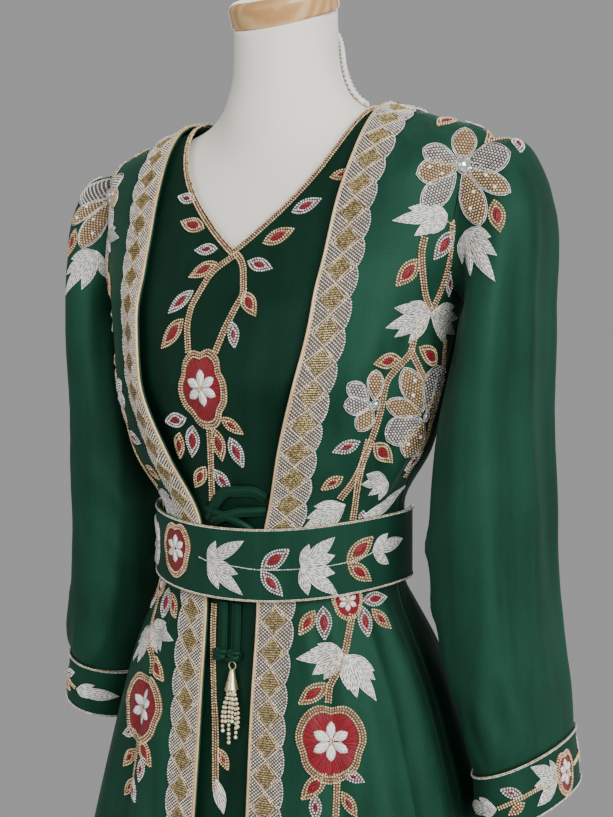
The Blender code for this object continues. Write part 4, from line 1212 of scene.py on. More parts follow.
@dataclass
class OuterRobe(Garment):
    """The open robe: two fronts and a back."""

    depth: float = 1.4
    bare: float = 0.034
    bare_fade: float = 0.016
    front_size: tuple[float, float] = (0.75, 1.5)
    back_size: tuple[float, float] = (1.4, 1.5)
    creases: tuple[Crease, ...] = (
        Crease(((84, 4.3), (64, 5.4), (48, 6.9)), 0.013, 0.0030),
        Crease(((88, 5.0), (76, 6.0), (66, 6.95)), 0.010, 0.0026),
        Crease(((60, 3.0), (52, 4.4), (40, 6.0)), 0.016, 0.0020),
        Crease(((78, 2.6), (66, 3.4), (58, 4.6)), 0.012, 0.0020),
        Crease(((38, 6.0), (34, 6.95)), 0.007, 0.0018),
        Crease(((74, 6.2), (72, 6.95)), 0.006, 0.0020),
        Crease(((45, 8.05), (42, 8.8), (40, 10.5)), 0.009, 0.0040),
        Crease(((60, 8.05), (61, 8.9), (62, 11.0)), 0.010, 0.0048),
        Crease(((74, 8.05), (76, 8.8), (80, 10.0)), 0.009, 0.0044),
        Crease(((32, 8.05), (31, 8.7), (30, 10.0)), 0.007, 0.0030),
        Crease(((62, 9.4), (60, 11.0), (61, 12.9)), 0.018, 0.0060),
        Crease(((38, 10.0), (37, 11.4), (38, 12.9)), 0.016, 0.0050),
    )
    back_creases: tuple[Crease, ...] = (
        Crease(((96, 4.4), (120, 5.6), (136, 6.9)), 0.013, 0.0030),
        Crease(((150, 4.6), (156, 5.8), (158, 6.9)), 0.012, 0.0022),
        Crease(((110, 2.8), (128, 3.6), (150, 4.2)), 0.016, 0.0018),
        Crease(((104, 8.05), (106, 8.8), (108, 10.4)), 0.010, 0.0046),
        Crease(((122, 8.05), (121, 8.9), (120, 11.0)), 0.011, 0.0050),
        Crease(((140, 8.05), (142, 8.8), (144, 10.6)), 0.010, 0.0046),
        Crease(((160, 8.05), (160, 9.0), (161, 11.0)), 0.011, 0.0046),
        Crease(((176, 8.05), (176, 9.2), (176, 12.0)), 0.010, 0.0040),
        Crease(((132, 10.0), (131, 11.4), (132, 12.9)), 0.018, 0.0060),
    )

    def lifted(self, chart: np.ndarray, creases: Iterable[Crease]) -> np.ndarray:
        """Points of a chart with creases."""
        points = ROBE.at(chart[..., 0], chart[..., 1], ROBE_OUT)
        lift = creased(creases, points, ROBE.place)
        return points + ROBE.normal(chart[..., 0], chart[..., 1]) * (lift * self.depth)[..., None]

    def front(self) -> np.ndarray:
        """Points of the wearer's left front."""
        chart = robe_front_chart(self.cut)
        plain = ROBE.at(chart[..., 0], chart[..., 1], ROBE_OUT)
        points = self.lifted(chart, self.creases)
        run = row_lengths(plain)
        bare = np.clip((run - self.bare) / self.bare_fade, 0.0, 1.0)[..., None]
        return plain + (points - plain) * bare * off_belt(chart[..., 1])

    def back(self) -> np.ndarray:
        """Points of the whole back."""
        chart = back_chart(ROBE, self.cut, ROBE_ARMHOLE_ANGLE, ROBE_COLLAR_LEVEL)
        plain = ROBE.at(chart[..., 0], chart[..., 1], ROBE_OUT)
        points = self.lifted(chart, self.back_creases)
        top = np.clip((chart[..., 1] - 1.6) / 0.6, 0.0, 1.0)[..., None]
        return whole(plain + (points - plain) * off_belt(chart[..., 1]) * top)[:, ::-1]

    def build(self) -> np.ndarray:
        """Makes the two fronts and the back, and gives the left front's points."""
        left = self.front()
        panels = [
            ("robe_front_left", left, "dress_front", self.front_size),
            ("robe_front_right", mirror_grid(left), "dress_front", self.front_size),
            ("robe_back", self.back(), "dress_back", self.back_size),
        ]
        for node, points, under, size in panels:
            name = f"{node}_cloth"
            self.sheet(name, points, ROBE_CREPE, "green_georgette", "draped", [under], size, [node])
        return left


@dataclass
class Sleeves(Garment):
    """Both sleeves, which hang from the armholes, and the stiff cuff bands."""

    columns: int = 81
    rows: int = 90
    cuff_thick: float = 0.0020
    cuff_gap: float = 0.0008
    lay: float = 0.0008
    hang_curve: float = 1.5
    fullest: float = 0.0085
    fades: tuple[float, float] = (1.2, 0.25)
    hangs: dict[Side, tuple[float, float, float]] = field(
        default_factory=lambda: {Side.LEFT: (0.0, 0.0, 0.0), Side.RIGHT: (-0.006, 0.026, 0.028)}
    )
    size: tuple[float, float] = (0.52, 0.62)
    creases: tuple[Crease, ...] = (
        Crease(((250, 1.2), (262, 3.0), (275, 5.2)), 0.015, 0.0070),
        Crease(((205, 1.4), (225, 3.2), (235, 6.0), (230, 7.9)), 0.012, 0.0062),
        Crease(((285, 1.5), (292, 3.4), (300, 6.4)), 0.012, 0.0058),
        Crease(((320, 1.3), (330, 3.0), (345, 5.6)), 0.015, 0.0062),
        Crease(((30, 1.6), (20, 4.0), (15, 7.9)), 0.016, 0.0058),
        Crease(((70, 1.4), (62, 3.6), (58, 7.0)), 0.013, 0.0062),
        Crease(((120, 1.4), (110, 3.4), (105, 7.9)), 0.013, 0.0058),
        Crease(((165, 1.8), (160, 4.0), (150, 7.9)), 0.012, 0.0052),
        Crease(((190, 4.6), (225, 5.0), (262, 4.5)), 0.009, 0.0042),
        Crease(((182, 5.4), (215, 5.7), (250, 5.3)), 0.008, 0.0036),
        Crease(((262, 6.6), (270, 7.3), (275, 7.95)), 0.009, 0.0048),
        Crease(((300, 6.4), (305, 7.2), (303, 7.95)), 0.010, 0.0048),
        Crease(((240, 6.9), (246, 7.4), (250, 7.95)), 0.007, 0.0036),
    )

    def ring(self, values: np.ndarray) -> np.ndarray:
        """One elliptical ring of the left sleeve, starting at its outer side and turning to the back."""
        x, y, z, out, fore, tilt = values[:6]
        turn = np.radians(90.0 + np.linspace(0.0, 360.0, self.columns))
        lift = math.radians(tilt)
        outward = np.array([math.cos(lift), 0.0, math.sin(lift)])
        aft = np.array([0.0, 1.0, 0.0])
        across, along = np.sin(turn)[:, None], np.cos(turn)[:, None]
        return np.array([x, y, z]) + out * across * outward - fore * along * aft

    def armhole_loop(self) -> np.ndarray:
        """Points round the left armhole, from its front round the shoulder tip to the back and the armpit."""
        rows = np.linspace(0.0, 1.0, (self.columns + 1) // 2) ** 1.6
        front = armhole(rows, ROBE_ARMHOLE_ANGLE)
        back = np.stack([180.0 - front[:, 0], front[:, 1]], -1)
        loop = np.concatenate([back, front[::-1][1:]])
        return ROBE.at(loop[:, 0], loop[:, 1], ROBE_OUT + CLOTH + self.lay)

    def shifted(self, values: np.ndarray, share: float, side: Side) -> np.ndarray:
        """A ring moved by a share of the cuff's hang."""
        values = values.copy()
        values[0:3] += np.array(self.hangs[side]) * share
        return values

    def surface(self, side: Side, levels: np.ndarray) -> np.ndarray:
        """Rows of a sleeve, as on the wearer's left, without folds."""
        loop, table = self.armhole_loop(), np.array(SLEEVE_RINGS)
        last = len(table) - 1.0
        rows = []
        for level, values in zip(levels, smooth_table(table, levels)):
            ring = self.ring(self.shifted(values, (level / last) ** self.hang_curve, side))
            rows.append(loop * values[6] + ring * (1 - values[6]))
        return np.array(rows)

    def sleeve(self, side: Side) -> np.ndarray:
        """Rows of a sleeve with its folds, as on the wearer's left."""
        levels = np.linspace(0.0, len(SLEEVE_RINGS) - 1.0, self.rows)
        points = self.surface(side, levels)
        rows = np.arange(self.rows)

        def place(turn: np.ndarray, level: np.ndarray) -> np.ndarray:
            column = np.asarray(turn) / 360.0 % 1.0 * (self.columns - 1)
            row = np.clip(np.interp(level, levels, rows), 0.0, self.rows - 1.001)
            return bilinear(points, row, column)

        lift = creased(self.creases, points, place)
        ring = points[:, :-1]
        round_it = np.roll(ring, -1, axis=1) - np.roll(ring, 1, axis=1)
        normal = unit(np.cross(np.gradient(ring, axis=0), round_it))
        normal = np.concatenate([normal, normal[:, :1]], axis=1)
        top, end = self.fades
        ends = np.clip(levels / top, 0.0, 1.0) * np.clip((len(SLEEVE_RINGS) - 1.0 - levels) / end, 0.0, 1.0)
        lift *= ends[:, None]
        lift[:, -1] = lift[:, 0]
        return points + normal * np.minimum(lift, self.fullest)[..., None]

    def cuff(self, side: Side) -> np.ndarray:
        """Rows of a cuff, as on the wearer's left."""
        start = self.shifted(np.array(SLEEVE_RINGS[-1]), 1.0, side)
        end = self.shifted(np.array(CUFF_END), 1.0, side)
        shares = np.linspace(self.cuff_gap / (start[2] - end[2]), 1.0, 18)
        return np.array([self.ring(start * (1 - share) + end * share) for share in shares])

    def build(self) -> tuple[np.ndarray, np.ndarray]:
        """Makes the sleeves and the cuffs, and gives the left cuff's points and the right one's shift."""
        for side in Side:
            sleeve, cuff = self.sleeve(side), self.cuff(side)
            if side is Side.RIGHT:
                sleeve, cuff = mirror_grid(sleeve), mirror_grid(cuff)
            robe, node = [f"robe_front_{side.word}", "robe_back"], f"sleeve_{side.word}"
            slot, name = "green_georgette", f"{node}_cloth"
            self.sheet(name, sleeve, ROBE_CREPE, slot, "hung", robe, self.size, [node], closed=True)
            mesh = grid_mesh(f"cuff_{side.word}_band", cuff, closed=True)
            band = add_piece(mesh.name, mesh, BELT_CREPE, "green_satin", f"cuff_{side.word}")
            thicken(band, self.cuff_thick)
        return self.cuff(Side.LEFT), np.array(self.hangs[Side.RIGHT])


@dataclass
class Sash(Garment):
    """The stiff belt front and the plain strap that closes it behind."""

    thick: float = 0.0026
    out: float = ROBE_OUT + CLOTH + 0.0047
    half_angle: float = 108.0
    strap_width: float = 0.016

    def build(self) -> np.ndarray:
        """Makes the belt and its strap, and gives the belt's points."""
        angles = np.linspace(-self.half_angle, self.half_angle, 121)
        angle, level = np.meshgrid(angles, np.linspace(*BELT_LEVELS, 25))
        front = ROBE.at(angle, level, self.out)
        belt = add_piece("belt_band", grid_mesh("belt_band", front), BELT_CREPE, "green_satin", "belt")
        thicken(belt, self.thick)
        half = self.strap_width / 2 / (BODY_RINGS[-2][0] - BODY_RINGS[-1][0])
        end, middle = self.half_angle + 0.4, sum(BELT_LEVELS) / 2
        angles = np.linspace(end, 360.0 - end, 91)
        angle, level = np.meshgrid(angles, np.linspace(middle - half, middle + half, 7))
        mesh = grid_mesh("belt_strap_band", ROBE.at(angle, level, self.out))
        thicken(add_piece(mesh.name, mesh, BELT_CREPE, "green_satin", "belt_strap"), CLOTH)
        return front


@dataclass(frozen=True)
class Viewpoint:
    """Where the picture was taken from, also used to place the beadwork by the picture's pixels."""

    turn: float = math.radians(29.6)
    distance: float = 1.14
    height: float = 1.217
    drop: float = math.radians(2.7)
    focal: float = 1159.0
    width: float = 613.0
    tall: float = 817.0
    middle_x: float = 284.0

    @property
    def eye(self) -> Vector:
        """The camera's place."""
        away = self.distance
        return Vector((away * math.sin(self.turn), -away * math.cos(self.turn), self.height))

    @property
    def ahead(self) -> Vector:
        """The way the camera looks."""
        flat = math.cos(self.drop)
        return Vector((-math.sin(self.turn) * flat, math.cos(self.turn) * flat, -math.sin(self.drop)))

    def ray(self, x: float, y: float) -> Vector:
        """The direction through a pixel."""
        right = Vector((math.cos(self.turn), math.sin(self.turn), 0.0))
        up = right.cross(self.ahead)
        away = self.ahead * self.focal + right * (x - self.middle_x) - up * (y - self.tall / 2)
        return away.normalized()

    def meet(self, pixel: Sequence[float], spot: np.ndarray, normal: np.ndarray) -> np.ndarray:
        """The point that a pixel shows of the plane through a spot."""
        eye, away = np.array(self.eye), np.array(self.ray(*pixel))
        return eye + away * (spot - eye).dot(normal) / away.dot(normal)

    def camera(self) -> None:
        """Makes the scene's camera."""
        data = bpy.data.cameras.new("camera")
        data.sensor_fit = "HORIZONTAL"
        data.sensor_width = 36.0
        data.lens = self.focal / self.width * data.sensor_width
        data.shift_x = (self.width / 2 - self.middle_x) / self.width
        camera = linked("camera", data)
        camera.location = self.eye
        camera.rotation_euler = self.ahead.to_track_quat("-Z", "Y").to_euler()
        bpy.context.scene.camera = camera


class Board(Canvas):
    """A geometry node tree in the making, with named inputs."""

    def __init__(self, name: str, **sockets: str) -> None:
        """Starts a tree.

        Args:
            name: The tree's name.
            sockets: Its inputs after the geometry, each a socket type's last word.
        """
        self.tree = bpy.data.node_groups.new(name, "GeometryNodeTree")
        face = self.tree.interface
        face.new_socket(name="Threads", in_out="INPUT", socket_type="NodeSocketGeometry")
        for key, kind in sockets.items():
            face.new_socket(name=key, in_out="INPUT", socket_type="NodeSocket" + kind)
        face.new_socket(name="Geometry", in_out="OUTPUT", socket_type="NodeSocketGeometry")
        self.source = self.tree.nodes.new("NodeGroupInput")

    def taken(self, key: str) -> Wire:
        """An input of the tree."""
        return Wire(self.tree, self.source.outputs[key])

    def finished(self, geometry: Wire) -> bpy.types.NodeTree:
        """Realizes, smooths and paints the geometry, and gives the tree."""
        solid = self.node("GeometryNodeRealizeInstances", {}, {"Geometry": geometry})
        smooth = self.node("GeometryNodeSetShadeSmooth", {}, {"Geometry": solid})
        paint = {"Geometry": smooth, "Material": self.taken("Material")}
        painted = self.node("GeometryNodeSetMaterial", {}, paint)
        end = self.tree.nodes.new("NodeGroupOutput")
        self.tree.links.new(painted.socket, end.inputs[0])
        return self.tree


def bead_setting() -> bpy.types.NodeTree:
    """Beads at every loose point and, evenly spaced, along every path of edges."""
    inputs = {"Radius": "Float", "Pitch": "Float", "Uneven": "Float", "Seed": "Int", "Material": "Material"}
    board = Board("bead_setting", **inputs)
    linked = board.node("GeometryNodeInputMeshVertexNeighbors", {}, {})
    sockets = {"Geometry": board.taken("Threads"), "Selection": linked}
    paths = board.node("GeometryNodeSeparateGeometry", {"domain": "POINT"}, sockets)
    loose = Wire(board.tree, paths.socket.node.outputs["Inverted"])
    curves = board.node("GeometryNodeMeshToCurve", {}, {"Mesh": paths})
    evenly = {"Curve": curves, "Length": board.taken("Pitch")}
    spaced = board.node("GeometryNodeResampleCurve", {"mode": "LENGTH"}, evenly)
    both = board.tree.nodes.new("GeometryNodeJoinGeometry")
    board.tree.links.new(spaced.socket, both.inputs[0])
    board.tree.links.new(loose.socket, both.inputs[0])
    size = {"Radius": board.taken("Radius"), "Subdivisions": 1}
    bead = board.node("GeometryNodeMeshIcoSphere", {}, size)
    least, seed = 1.0 - board.taken("Uneven"), board.taken("Seed")
    grown = board.node("FunctionNodeRandomValue", {"data_type": "FLOAT"}, {2: least, 3: 1.0, 8: seed}, 1)
    spin = {1: (math.tau, math.tau, math.tau), 8: seed}
    turned = board.node("FunctionNodeRandomValue", {"data_type": "FLOAT_VECTOR"}, spin)
    points = Wire(board.tree, both.outputs[0])
    sockets = {"Points": points, "Instance": bead, "Scale": grown, "Rotation": turned}
    return board.finished(board.node("GeometryNodeInstanceOnPoints", {}, sockets))


def thread_laying() -> bpy.types.NodeTree:
    """A round thread, closed at its ends, along every path of edges."""
    board = Board("thread_laying", Radius="Float", Sides="Int", Material="Material")
    curves = board.node("GeometryNodeMeshToCurve", {}, {"Mesh": board.taken("Threads")})
    sockets = {"Resolution": board.taken("Sides"), "Radius": board.taken("Radius")}
    ring = board.node("GeometryNodeCurvePrimitiveCircle", {}, sockets)
    sockets = {"Curve": curves, "Profile Curve": ring, "Fill Caps": True}
    return board.finished(board.node("GeometryNodeCurveToMesh", {}, sockets))


class Workshop:
    """Runs the two geometry trees over laid paths."""

    trees: dict[str, bpy.types.NodeTree] = {}

    @classmethod
    def tree(cls, make: Callable[[], bpy.types.NodeTree]) -> bpy.types.NodeTree:
        """A tree, made once."""
        if make.__name__ not in cls.trees:
            cls.trees[make.__name__] = make()
        return cls.trees[make.__name__]

    @classmethod
    def run(cls, name: str, paths: Sequence[np.ndarray], make: Callable[..., Any],
            **values: Any) -> bpy.types.Mesh:
        """Grows a mesh along paths.

        Args:
            name: The mesh's name.
            paths: Point rows; a row of one point is a loose point.
            make: The function that makes the tree.
            values: The tree's inputs by name.

        Returns:
            The plain mesh.
        """
        spots, edges, count = np.concatenate(paths), [], 0
        for path in paths:
            edges += [(count + step, count + step + 1) for step in range(len(path) - 1)]
            count += len(path)
        threads = bpy.data.meshes.new(name + "_threads")
        threads.from_pydata(spots.tolist(), edges, [])
        holder = linked(name + "_threads", threads)
        grower = holder.modifiers.new("grow", "NODES")
        grower.node_group = cls.tree(make)
        for item in grower.node_group.interface.items_tree:
            if item.item_type == "SOCKET" and item.in_out == "INPUT" and item.name in values:
                grower[item.identifier] = values[item.name]
        mesh = evaluated(holder)
        mesh.name = name
        bpy.data.objects.remove(holder)
        bpy.data.meshes.remove(threads)
        return mesh


@dataclass(frozen=True)
class Stock:
    """Beads or thread on the embroiderer's table."""

    word: str
    finish: Any
    slot: str
    radius: float
    pitch: float = 0.0
    sides: int = 5
    uneven: float = 0.12


class Supply(Enum):
    """The beads and threads that are used."""

    SILVER = Stock("silver_beads", SILVER_BEADS, "silver_beads", 0.00112, 0.0024)
    GOLD = Stock("gold_beads", GOLD_BEADS, "gold_beads", 0.00112, 0.0024)
    ROSE = Stock("rose_beads", ROSE_BEADS, "gold_beads", 0.00112, 0.0025)
    LATTICE = Stock("lattice_beads", LATTICE_BEADS, "silver_beads", 0.00094, 0.0021)
    FINE = Stock("fine_silver_beads", SILVER_BEADS, "silver_beads", 0.00070, 0.0015)
    PEARL = Stock("pearls", PEARL_BEADS, "silver_beads", 0.00210, 0.0050)
    WIRE = Stock("silver_thread", SILVER_BEADS, "silver_beads", 0.00042, sides=4)
    CORD = Stock("gold_thread", GOLD_BEADS, "gold_beads", 0.00048, sides=4)
    BUGLE = Stock("bronze_bugles", BRONZE_BUGLES, "gold_beads", 0.00085)
    PIPING = Stock("piping", PIPING_CORD, "gold_beads", 0.00135, sides=8)
    STRUNG = Stock("strung_beads", STRUNG_BEADS, "gold_beads", 0.00205, 0.0040)


class Silk(Enum):
    """The finishes of domed patches, each with a slot name."""

    RED = (RED_SILK, "red_thread")
    WHITE = (WHITE_SILK, "silver_beads")
    PETAL = (PETAL_SILK, "silver_beads")
    # Backings painted dark as shade between the beads.
    SILVER = (SILVER_SHADED_BACKING, "silver_beads")
    GOLD = (GOLD_SHADED_BACKING, "gold_beads")
    CRYSTAL = (CRYSTAL, "silver_beads")


class Ground:
    """The outer side of cloth, for laying beadwork on it."""

    reach = 0.07
    near, far, tries = 0.7, 1.6, 91

    def __init__(self, *names: str) -> None:
        """Reads the faces of pieces."""
        bm = bmesh.new()
        for name in names:
            bm.from_mesh(evaluated(bpy.data.objects[name]))
        self.tree = BVHTree.FromBMesh(bm)
        bm.free()

    def under(self, view: Viewpoint, pixel: Sequence[float]) -> tuple[np.ndarray, np.ndarray]:
        """The point and normal that a pixel shows, or the nearest ones where it just misses."""
        away = view.ray(*pixel)
        spot, normal, _, _ = self.tree.ray_cast(view.eye, away)
        if spot is None:
            runs = np.linspace(self.near, self.far, self.tries)
            close = [self.tree.find_nearest(view.eye + away * run) for run in runs]
            spot, normal, _, _ = min(close, key=lambda found: found[3])
        return np.array(spot), np.array(normal)

    def lay(self, points: np.ndarray, normals: np.ndarray, lift: np.ndarray | float) -> np.ndarray:
        """Drops points on the cloth along normals and lifts them off it."""
        lifts = np.broadcast_to(lift, points.shape[:-1]).ravel()
        ways = np.broadcast_to(normals, points.shape).reshape(-1, 3)
        laid = []
        for point, normal, raise_by in zip(points.reshape(-1, 3), ways, lifts):
            start, way = Vector(point), Vector(normal).normalized()
            spot, face, _, _ = self.tree.ray_cast(start + way * self.reach, -way, 2 * self.reach)
            if spot is None:
                spot, face, _, _ = self.tree.find_nearest(start)
            out = face if face.dot(way) > 0 else way
            laid.append(spot + (out + way).normalized() * raise_by)
        return np.array(laid).reshape(points.shape)


@dataclass(frozen=True)
class Spot:
    """A small flat frame on the cloth, from a base towards a tip."""

    base: np.ndarray
    along: np.ndarray
    side: np.ndarray
    normal: np.ndarray
    length: float

    @classmethod
    def between(cls, base: np.ndarray, tip: np.ndarray, normal: np.ndarray) -> Spot:
        """The frame from one point to another."""
        normal = normal / np.linalg.norm(normal)
        reach = tip - base
        flat = reach - normal * reach.dot(normal)
        along = flat / max(float(np.linalg.norm(flat)), 1e-6)
        return cls(base, along, np.cross(normal, along), normal, float(np.linalg.norm(reach)))

    def turned(self, degrees: float, length: float) -> Spot:
        """The frame turned round its normal, with another length."""
        turn = math.radians(degrees)
        along = self.along * math.cos(turn) + self.side * math.sin(turn)
        return replace(self, along=along, side=np.cross(self.normal, along), length=length)

    def moved(self, run: float, across: float) -> Spot:
        """The frame with its base moved."""
        return replace(self, base=self.base + self.along * run + self.side * across)

    def at(self, run: np.ndarray, across: np.ndarray) -> np.ndarray:
        """Points at distances along and across, in metres."""
        return self.base + np.asarray(run)[..., None] * self.along + np.asarray(across)[..., None] * self.side


@dataclass(frozen=True)
class Laying:
    """Points that are to be dropped on the cloth along normals, or that lie in place if there are none."""

    points: np.ndarray
    normals: np.ndarray | None = None
    lift: np.ndarray | float = 0.0
    chart: np.ndarray | None = None
    loose: bool = False

    def laid(self, ground: Ground, side: Side = Side.LEFT) -> np.ndarray:
        """The points in place on a side of the garment."""
        points = side.turn(self.points)
        return points if self.normals is None else ground.lay(points, side.turn(self.normals), self.lift)

    def settled(self, ground: Ground) -> Laying:
        """The same points, in place on the left side."""
        return replace(self, points=self.laid(ground), normals=None)


def petal_width(share: np.ndarray, fullest: float, blunt: float) -> np.ndarray:
    """Half width of a petal, from 0 to 1, at shares of its length."""
    power = math.log(0.5) / math.log(fullest)
    return np.sin(math.pi * np.clip(share, 0.0, 1.0) ** power) ** blunt


STEM_ROWS = ((Supply.GOLD, -0.0025), (Supply.ROSE, 0.0), (Supply.GOLD, 0.0025))
BEAD_KINDS = {"G": Supply.GOLD, "S": Supply.SILVER}


def backing(supply: Supply) -> Silk:
    """The backing cloth that goes under beads, painted dark as shade between them."""
    return Silk.GOLD if supply is Supply.GOLD else Silk.SILVER


@dataclass
class Needlework:
    """Collects the beadwork of one garment part, lays it on its cloth and makes its pieces."""

    name: str
    ground: Ground
    view: Viewpoint = field(default_factory=Viewpoint)
    sewn: dict[Supply | Silk, list[Laying]] = field(default_factory=dict)
    strokes: float = 0.085
    least_leaf: float = 0.0042
    heart_inset: float = 0.0042
    least_heart: float = 0.0014
    widest_blade: float = 0.0062

    def sew(self, supply: Supply, points: np.ndarray, normals: np.ndarray | None = None,
            lift: np.ndarray | float = 0.0) -> None:
        """Keeps a path of beads or thread."""
        self.sewn.setdefault(supply, []).append(Laying(np.atleast_2d(points), normals, lift))

    def scatter(self, supply: Supply, points: np.ndarray, normals: np.ndarray | None = None,
                lift: np.ndarray | float = 0.0) -> None:
        """Keeps single beads, each at its own point."""
        self.sewn.setdefault(supply, []).append(Laying(points, normals, lift, loose=True))

    def patch(self, silk: Silk, points: np.ndarray, chart: np.ndarray, normals: np.ndarray | None = None,
              lift: np.ndarray | float = 0.0) -> None:
        """Keeps a patch, its rows running from base to tip."""
        self.sewn.setdefault(silk, []).append(Laying(points, normals, lift, chart))

    def spot(self, base: Sequence[float], tip: Sequence[float]) -> Spot:
        """The frame from a base pixel to a tip pixel."""
        start, first = self.ground.under(self.view, base)
        end, last = self.ground.under(self.view, tip)
        return Spot.between(start, end, first + last)

    def dome(self, silk: Silk, spot: Spot, half_width: float, height: float, fullest: float = 0.45,
             blunt: float = 0.8, cut: tuple[int, int] = (9, 7), lift: float = 0.0003) -> None:
        """A raised petal-shaped patch."""
        share = np.linspace(0.0, 1.0, cut[0])[:, None]
        across = np.linspace(-1.0, 1.0, cut[1])[None, :]
        width = half_width * np.maximum(petal_width(share, fullest, blunt), 0.02) * across
        run = np.broadcast_to(share * spot.length, width.shape)
        bulge = (1 - np.abs(across) ** 2.4) * np.sin(math.pi * np.clip(share, 0.02, 0.98)) ** 0.5
        self.patch(silk, spot.at(run, width), np.stack([width, run], -1), spot.normal, lift + height * bulge)

    def outline(self, supply: Supply, spot: Spot, half_width: float, inset: float, lift: float,
                fullest: float = 0.45, blunt: float = 0.8, count: int = 11) -> None:
        """A row round a petal shape, closed at base and tip."""
        share = np.linspace(0.0, 1.0, count)
        width = np.maximum(half_width * petal_width(share, fullest, blunt) - inset, 0.0)
        run = inset * 1.6 + share * (spot.length - inset * 3.2)
        run = np.concatenate([run, run[::-1][1:]])
        width = np.concatenate([width, -width[::-1][1:]])
        self.sew(supply, spot.at(run, width), spot.normal, lift)

    def leaf(self, row: LeafRow, ratio: float = 0.235) -> None:
        """A beaded leaf from one pixel to another: two rings of beads round a raised red heart."""
        kind, *ends = row
        supply, spot = BEAD_KINDS[kind], self.spot(ends[:2], ends[2:])
        half = max(spot.length * ratio, self.least_leaf)
        # Backing painted dark as shade between the bead rings.
        self.dome(backing(supply), spot, half, height=0.0006, lift=0.0002)
        self.outline(supply, spot, half, inset=0.0006, lift=0.0011)
        self.outline(supply, spot, half, inset=0.0028, lift=0.0013)
        heart = spot.moved(spot.length * 0.22, 0.0).turned(0.0, spot.length * 0.56)
        inner = max(half - self.heart_inset, self.least_heart)
        self.dome(Silk.RED, heart, inner, height=0.0016, fullest=0.5, cut=(8, 5), lift=0.0009)

    def blade(self, spot: Spot, half_width: float, fullest: float = 0.5, blunt: float = 1.0) -> None:
        """One white silk blade with three veins and a silver edge."""
        self.dome(Silk.WHITE, spot, half_width, 0.0013, fullest, blunt, cut=(8, 7), lift=0.0004)
        self.outline(Supply.WIRE, spot, half_width, 0.0001, 0.0008, fullest, blunt, count=9)
        run = np.linspace(0.05, 0.9, 5) * spot.length
        self.sew(Supply.WIRE, spot.at(run, run * 0), spot.normal, lift=0.0018)
        for way in (-1.0, 1.0):
            vein = half_width * 0.45 * petal_width(run / spot.length, fullest, blunt)
            self.sew(Supply.WIRE, spot.at(run, vein * way), spot.normal, lift=0.0015)

    def fan(self, base: Sequence[float], tips: Iterable[Sequence[float]]) -> None:
        """A white leaf whose blades run from one pixel to others."""
        for tip in tips:
            spot = self.spot(base, tip)
            self.blade(spot, min(self.widest_blade, spot.length * 0.2))

    def curve(self, pixels: Sequence[Sequence[float]], step: float = 4.0) -> tuple[np.ndarray, np.ndarray]:
        """Points and normals on the cloth along a smooth line through pixels."""
        stations = np.array(pixels, float)
        legs = np.linalg.norm(np.diff(stations, axis=0), axis=-1)
        count = max(4, int(legs.sum() / step))
        marks = np.concatenate([[0], np.cumsum(legs)])
        run = np.interp(np.linspace(0, legs.sum(), count), marks, np.arange(len(marks)))
        found = [self.ground.under(self.view, pixel) for pixel in smooth_table(stations, run)]
        return np.array([spot for spot, _ in found]), np.array([normal for _, normal in found])

    def stem(self, pixels: Sequence[Sequence[float]],
             rows: Sequence[tuple[Supply, float]] = STEM_ROWS) -> None:
        """A stem of bead rows, each at a distance across."""
        self.band(*self.curve(pixels), rows)

    def band(self, points: np.ndarray, normals: np.ndarray, rows: Sequence[tuple[Supply, float]]) -> None:
        """Rows of beads side by side along a laid line, with a strip under them, painted dark as shade
        between the rows, if they are several.
        """
        along = np.gradient(points, axis=0)
        across = np.cross(normals, along)
        across /= np.maximum(np.linalg.norm(across, axis=-1, keepdims=True), 1e-9)
        for supply, away in rows:
            self.sew(supply, points + across * away, normals, 0.0004 + supply.value.radius * 0.8)
        if len(rows) > 1:
            # Strip painted dark as shade between the rows.
            edge = max(away for _, away in rows) + 0.0005
            sides = points[:, None] + across[:, None] * np.array([-edge, 0.0, edge])[None, :, None]
            self.patch(Silk.GOLD, sides, sides[..., :2], normals[:, None], 0.0004)

    def filled_petal(self, supply: Supply, spot: Spot, half_width: float) -> None:
        """A padded petal that is covered with beads, in rows set half a pitch apart."""
        fullest, blunt, pitch, lift, height = 0.58, 0.62, 0.0026, 0.0008, 0.0016
        # Padded backing painted dark as shade between the beads.
        self.dome(backing(supply), spot, half_width, height, fullest, blunt, cut=(11, 9), lift=0.0002)
        for inset in (0.0, 0.0011):
            self.outline(Supply.WIRE, spot, half_width, inset, 0.0010, fullest, blunt, count=15)
        spots, lifts = [], []
        for number, run in enumerate(np.arange(pitch * 0.7, spot.length - pitch * 0.4, pitch * 0.87)):
            share = run / spot.length
            width = half_width * float(petal_width(np.array(share), fullest, blunt)) - pitch * 0.5
            if width <= 0:
                continue
            start = (number % 2) * pitch / 2
            first, last = math.floor((width + start) / pitch), math.floor((width - start) / pitch)
            for across in np.arange(-first, last + 1) * pitch + start:
                bulge = 1 - abs(across / (width + pitch * 0.5)) ** 2.4
                spots.append((run, across))
                lifts.append(lift + height * (bulge * math.sin(math.pi * run / spot.length) ** 0.5))
        if spots:
            place = np.array(spots)
            self.scatter(supply, spot.at(place[:, 0], place[:, 1]), spot.normal, np.array(lifts))

    def crystal(self, spot: Spot, radius: float, lift: float = 0.0026) -> None:
        """A cut crystal in a ring of small beads."""
        turn = np.linspace(0.0, math.tau, 9)[None, :]
        facets = np.array([(0.001, 0.66), (0.55, 0.62), (0.92, 0.3), (1.0, 0.0), (1.0, -0.5)])
        reach, high = facets.T[..., None] * radius
        points = spot.at(np.cos(turn) * reach, np.sin(turn) * reach)
        self.patch(Silk.CRYSTAL, points, points[..., :2], spot.normal, high + lift)
        ring = np.linspace(0.0, math.tau, 25)
        around = radius + 0.0011
        beads = spot.at(np.cos(ring) * around, np.sin(ring) * around)
        self.sew(Supply.FINE, beads, spot.normal, lift + 0.0002)

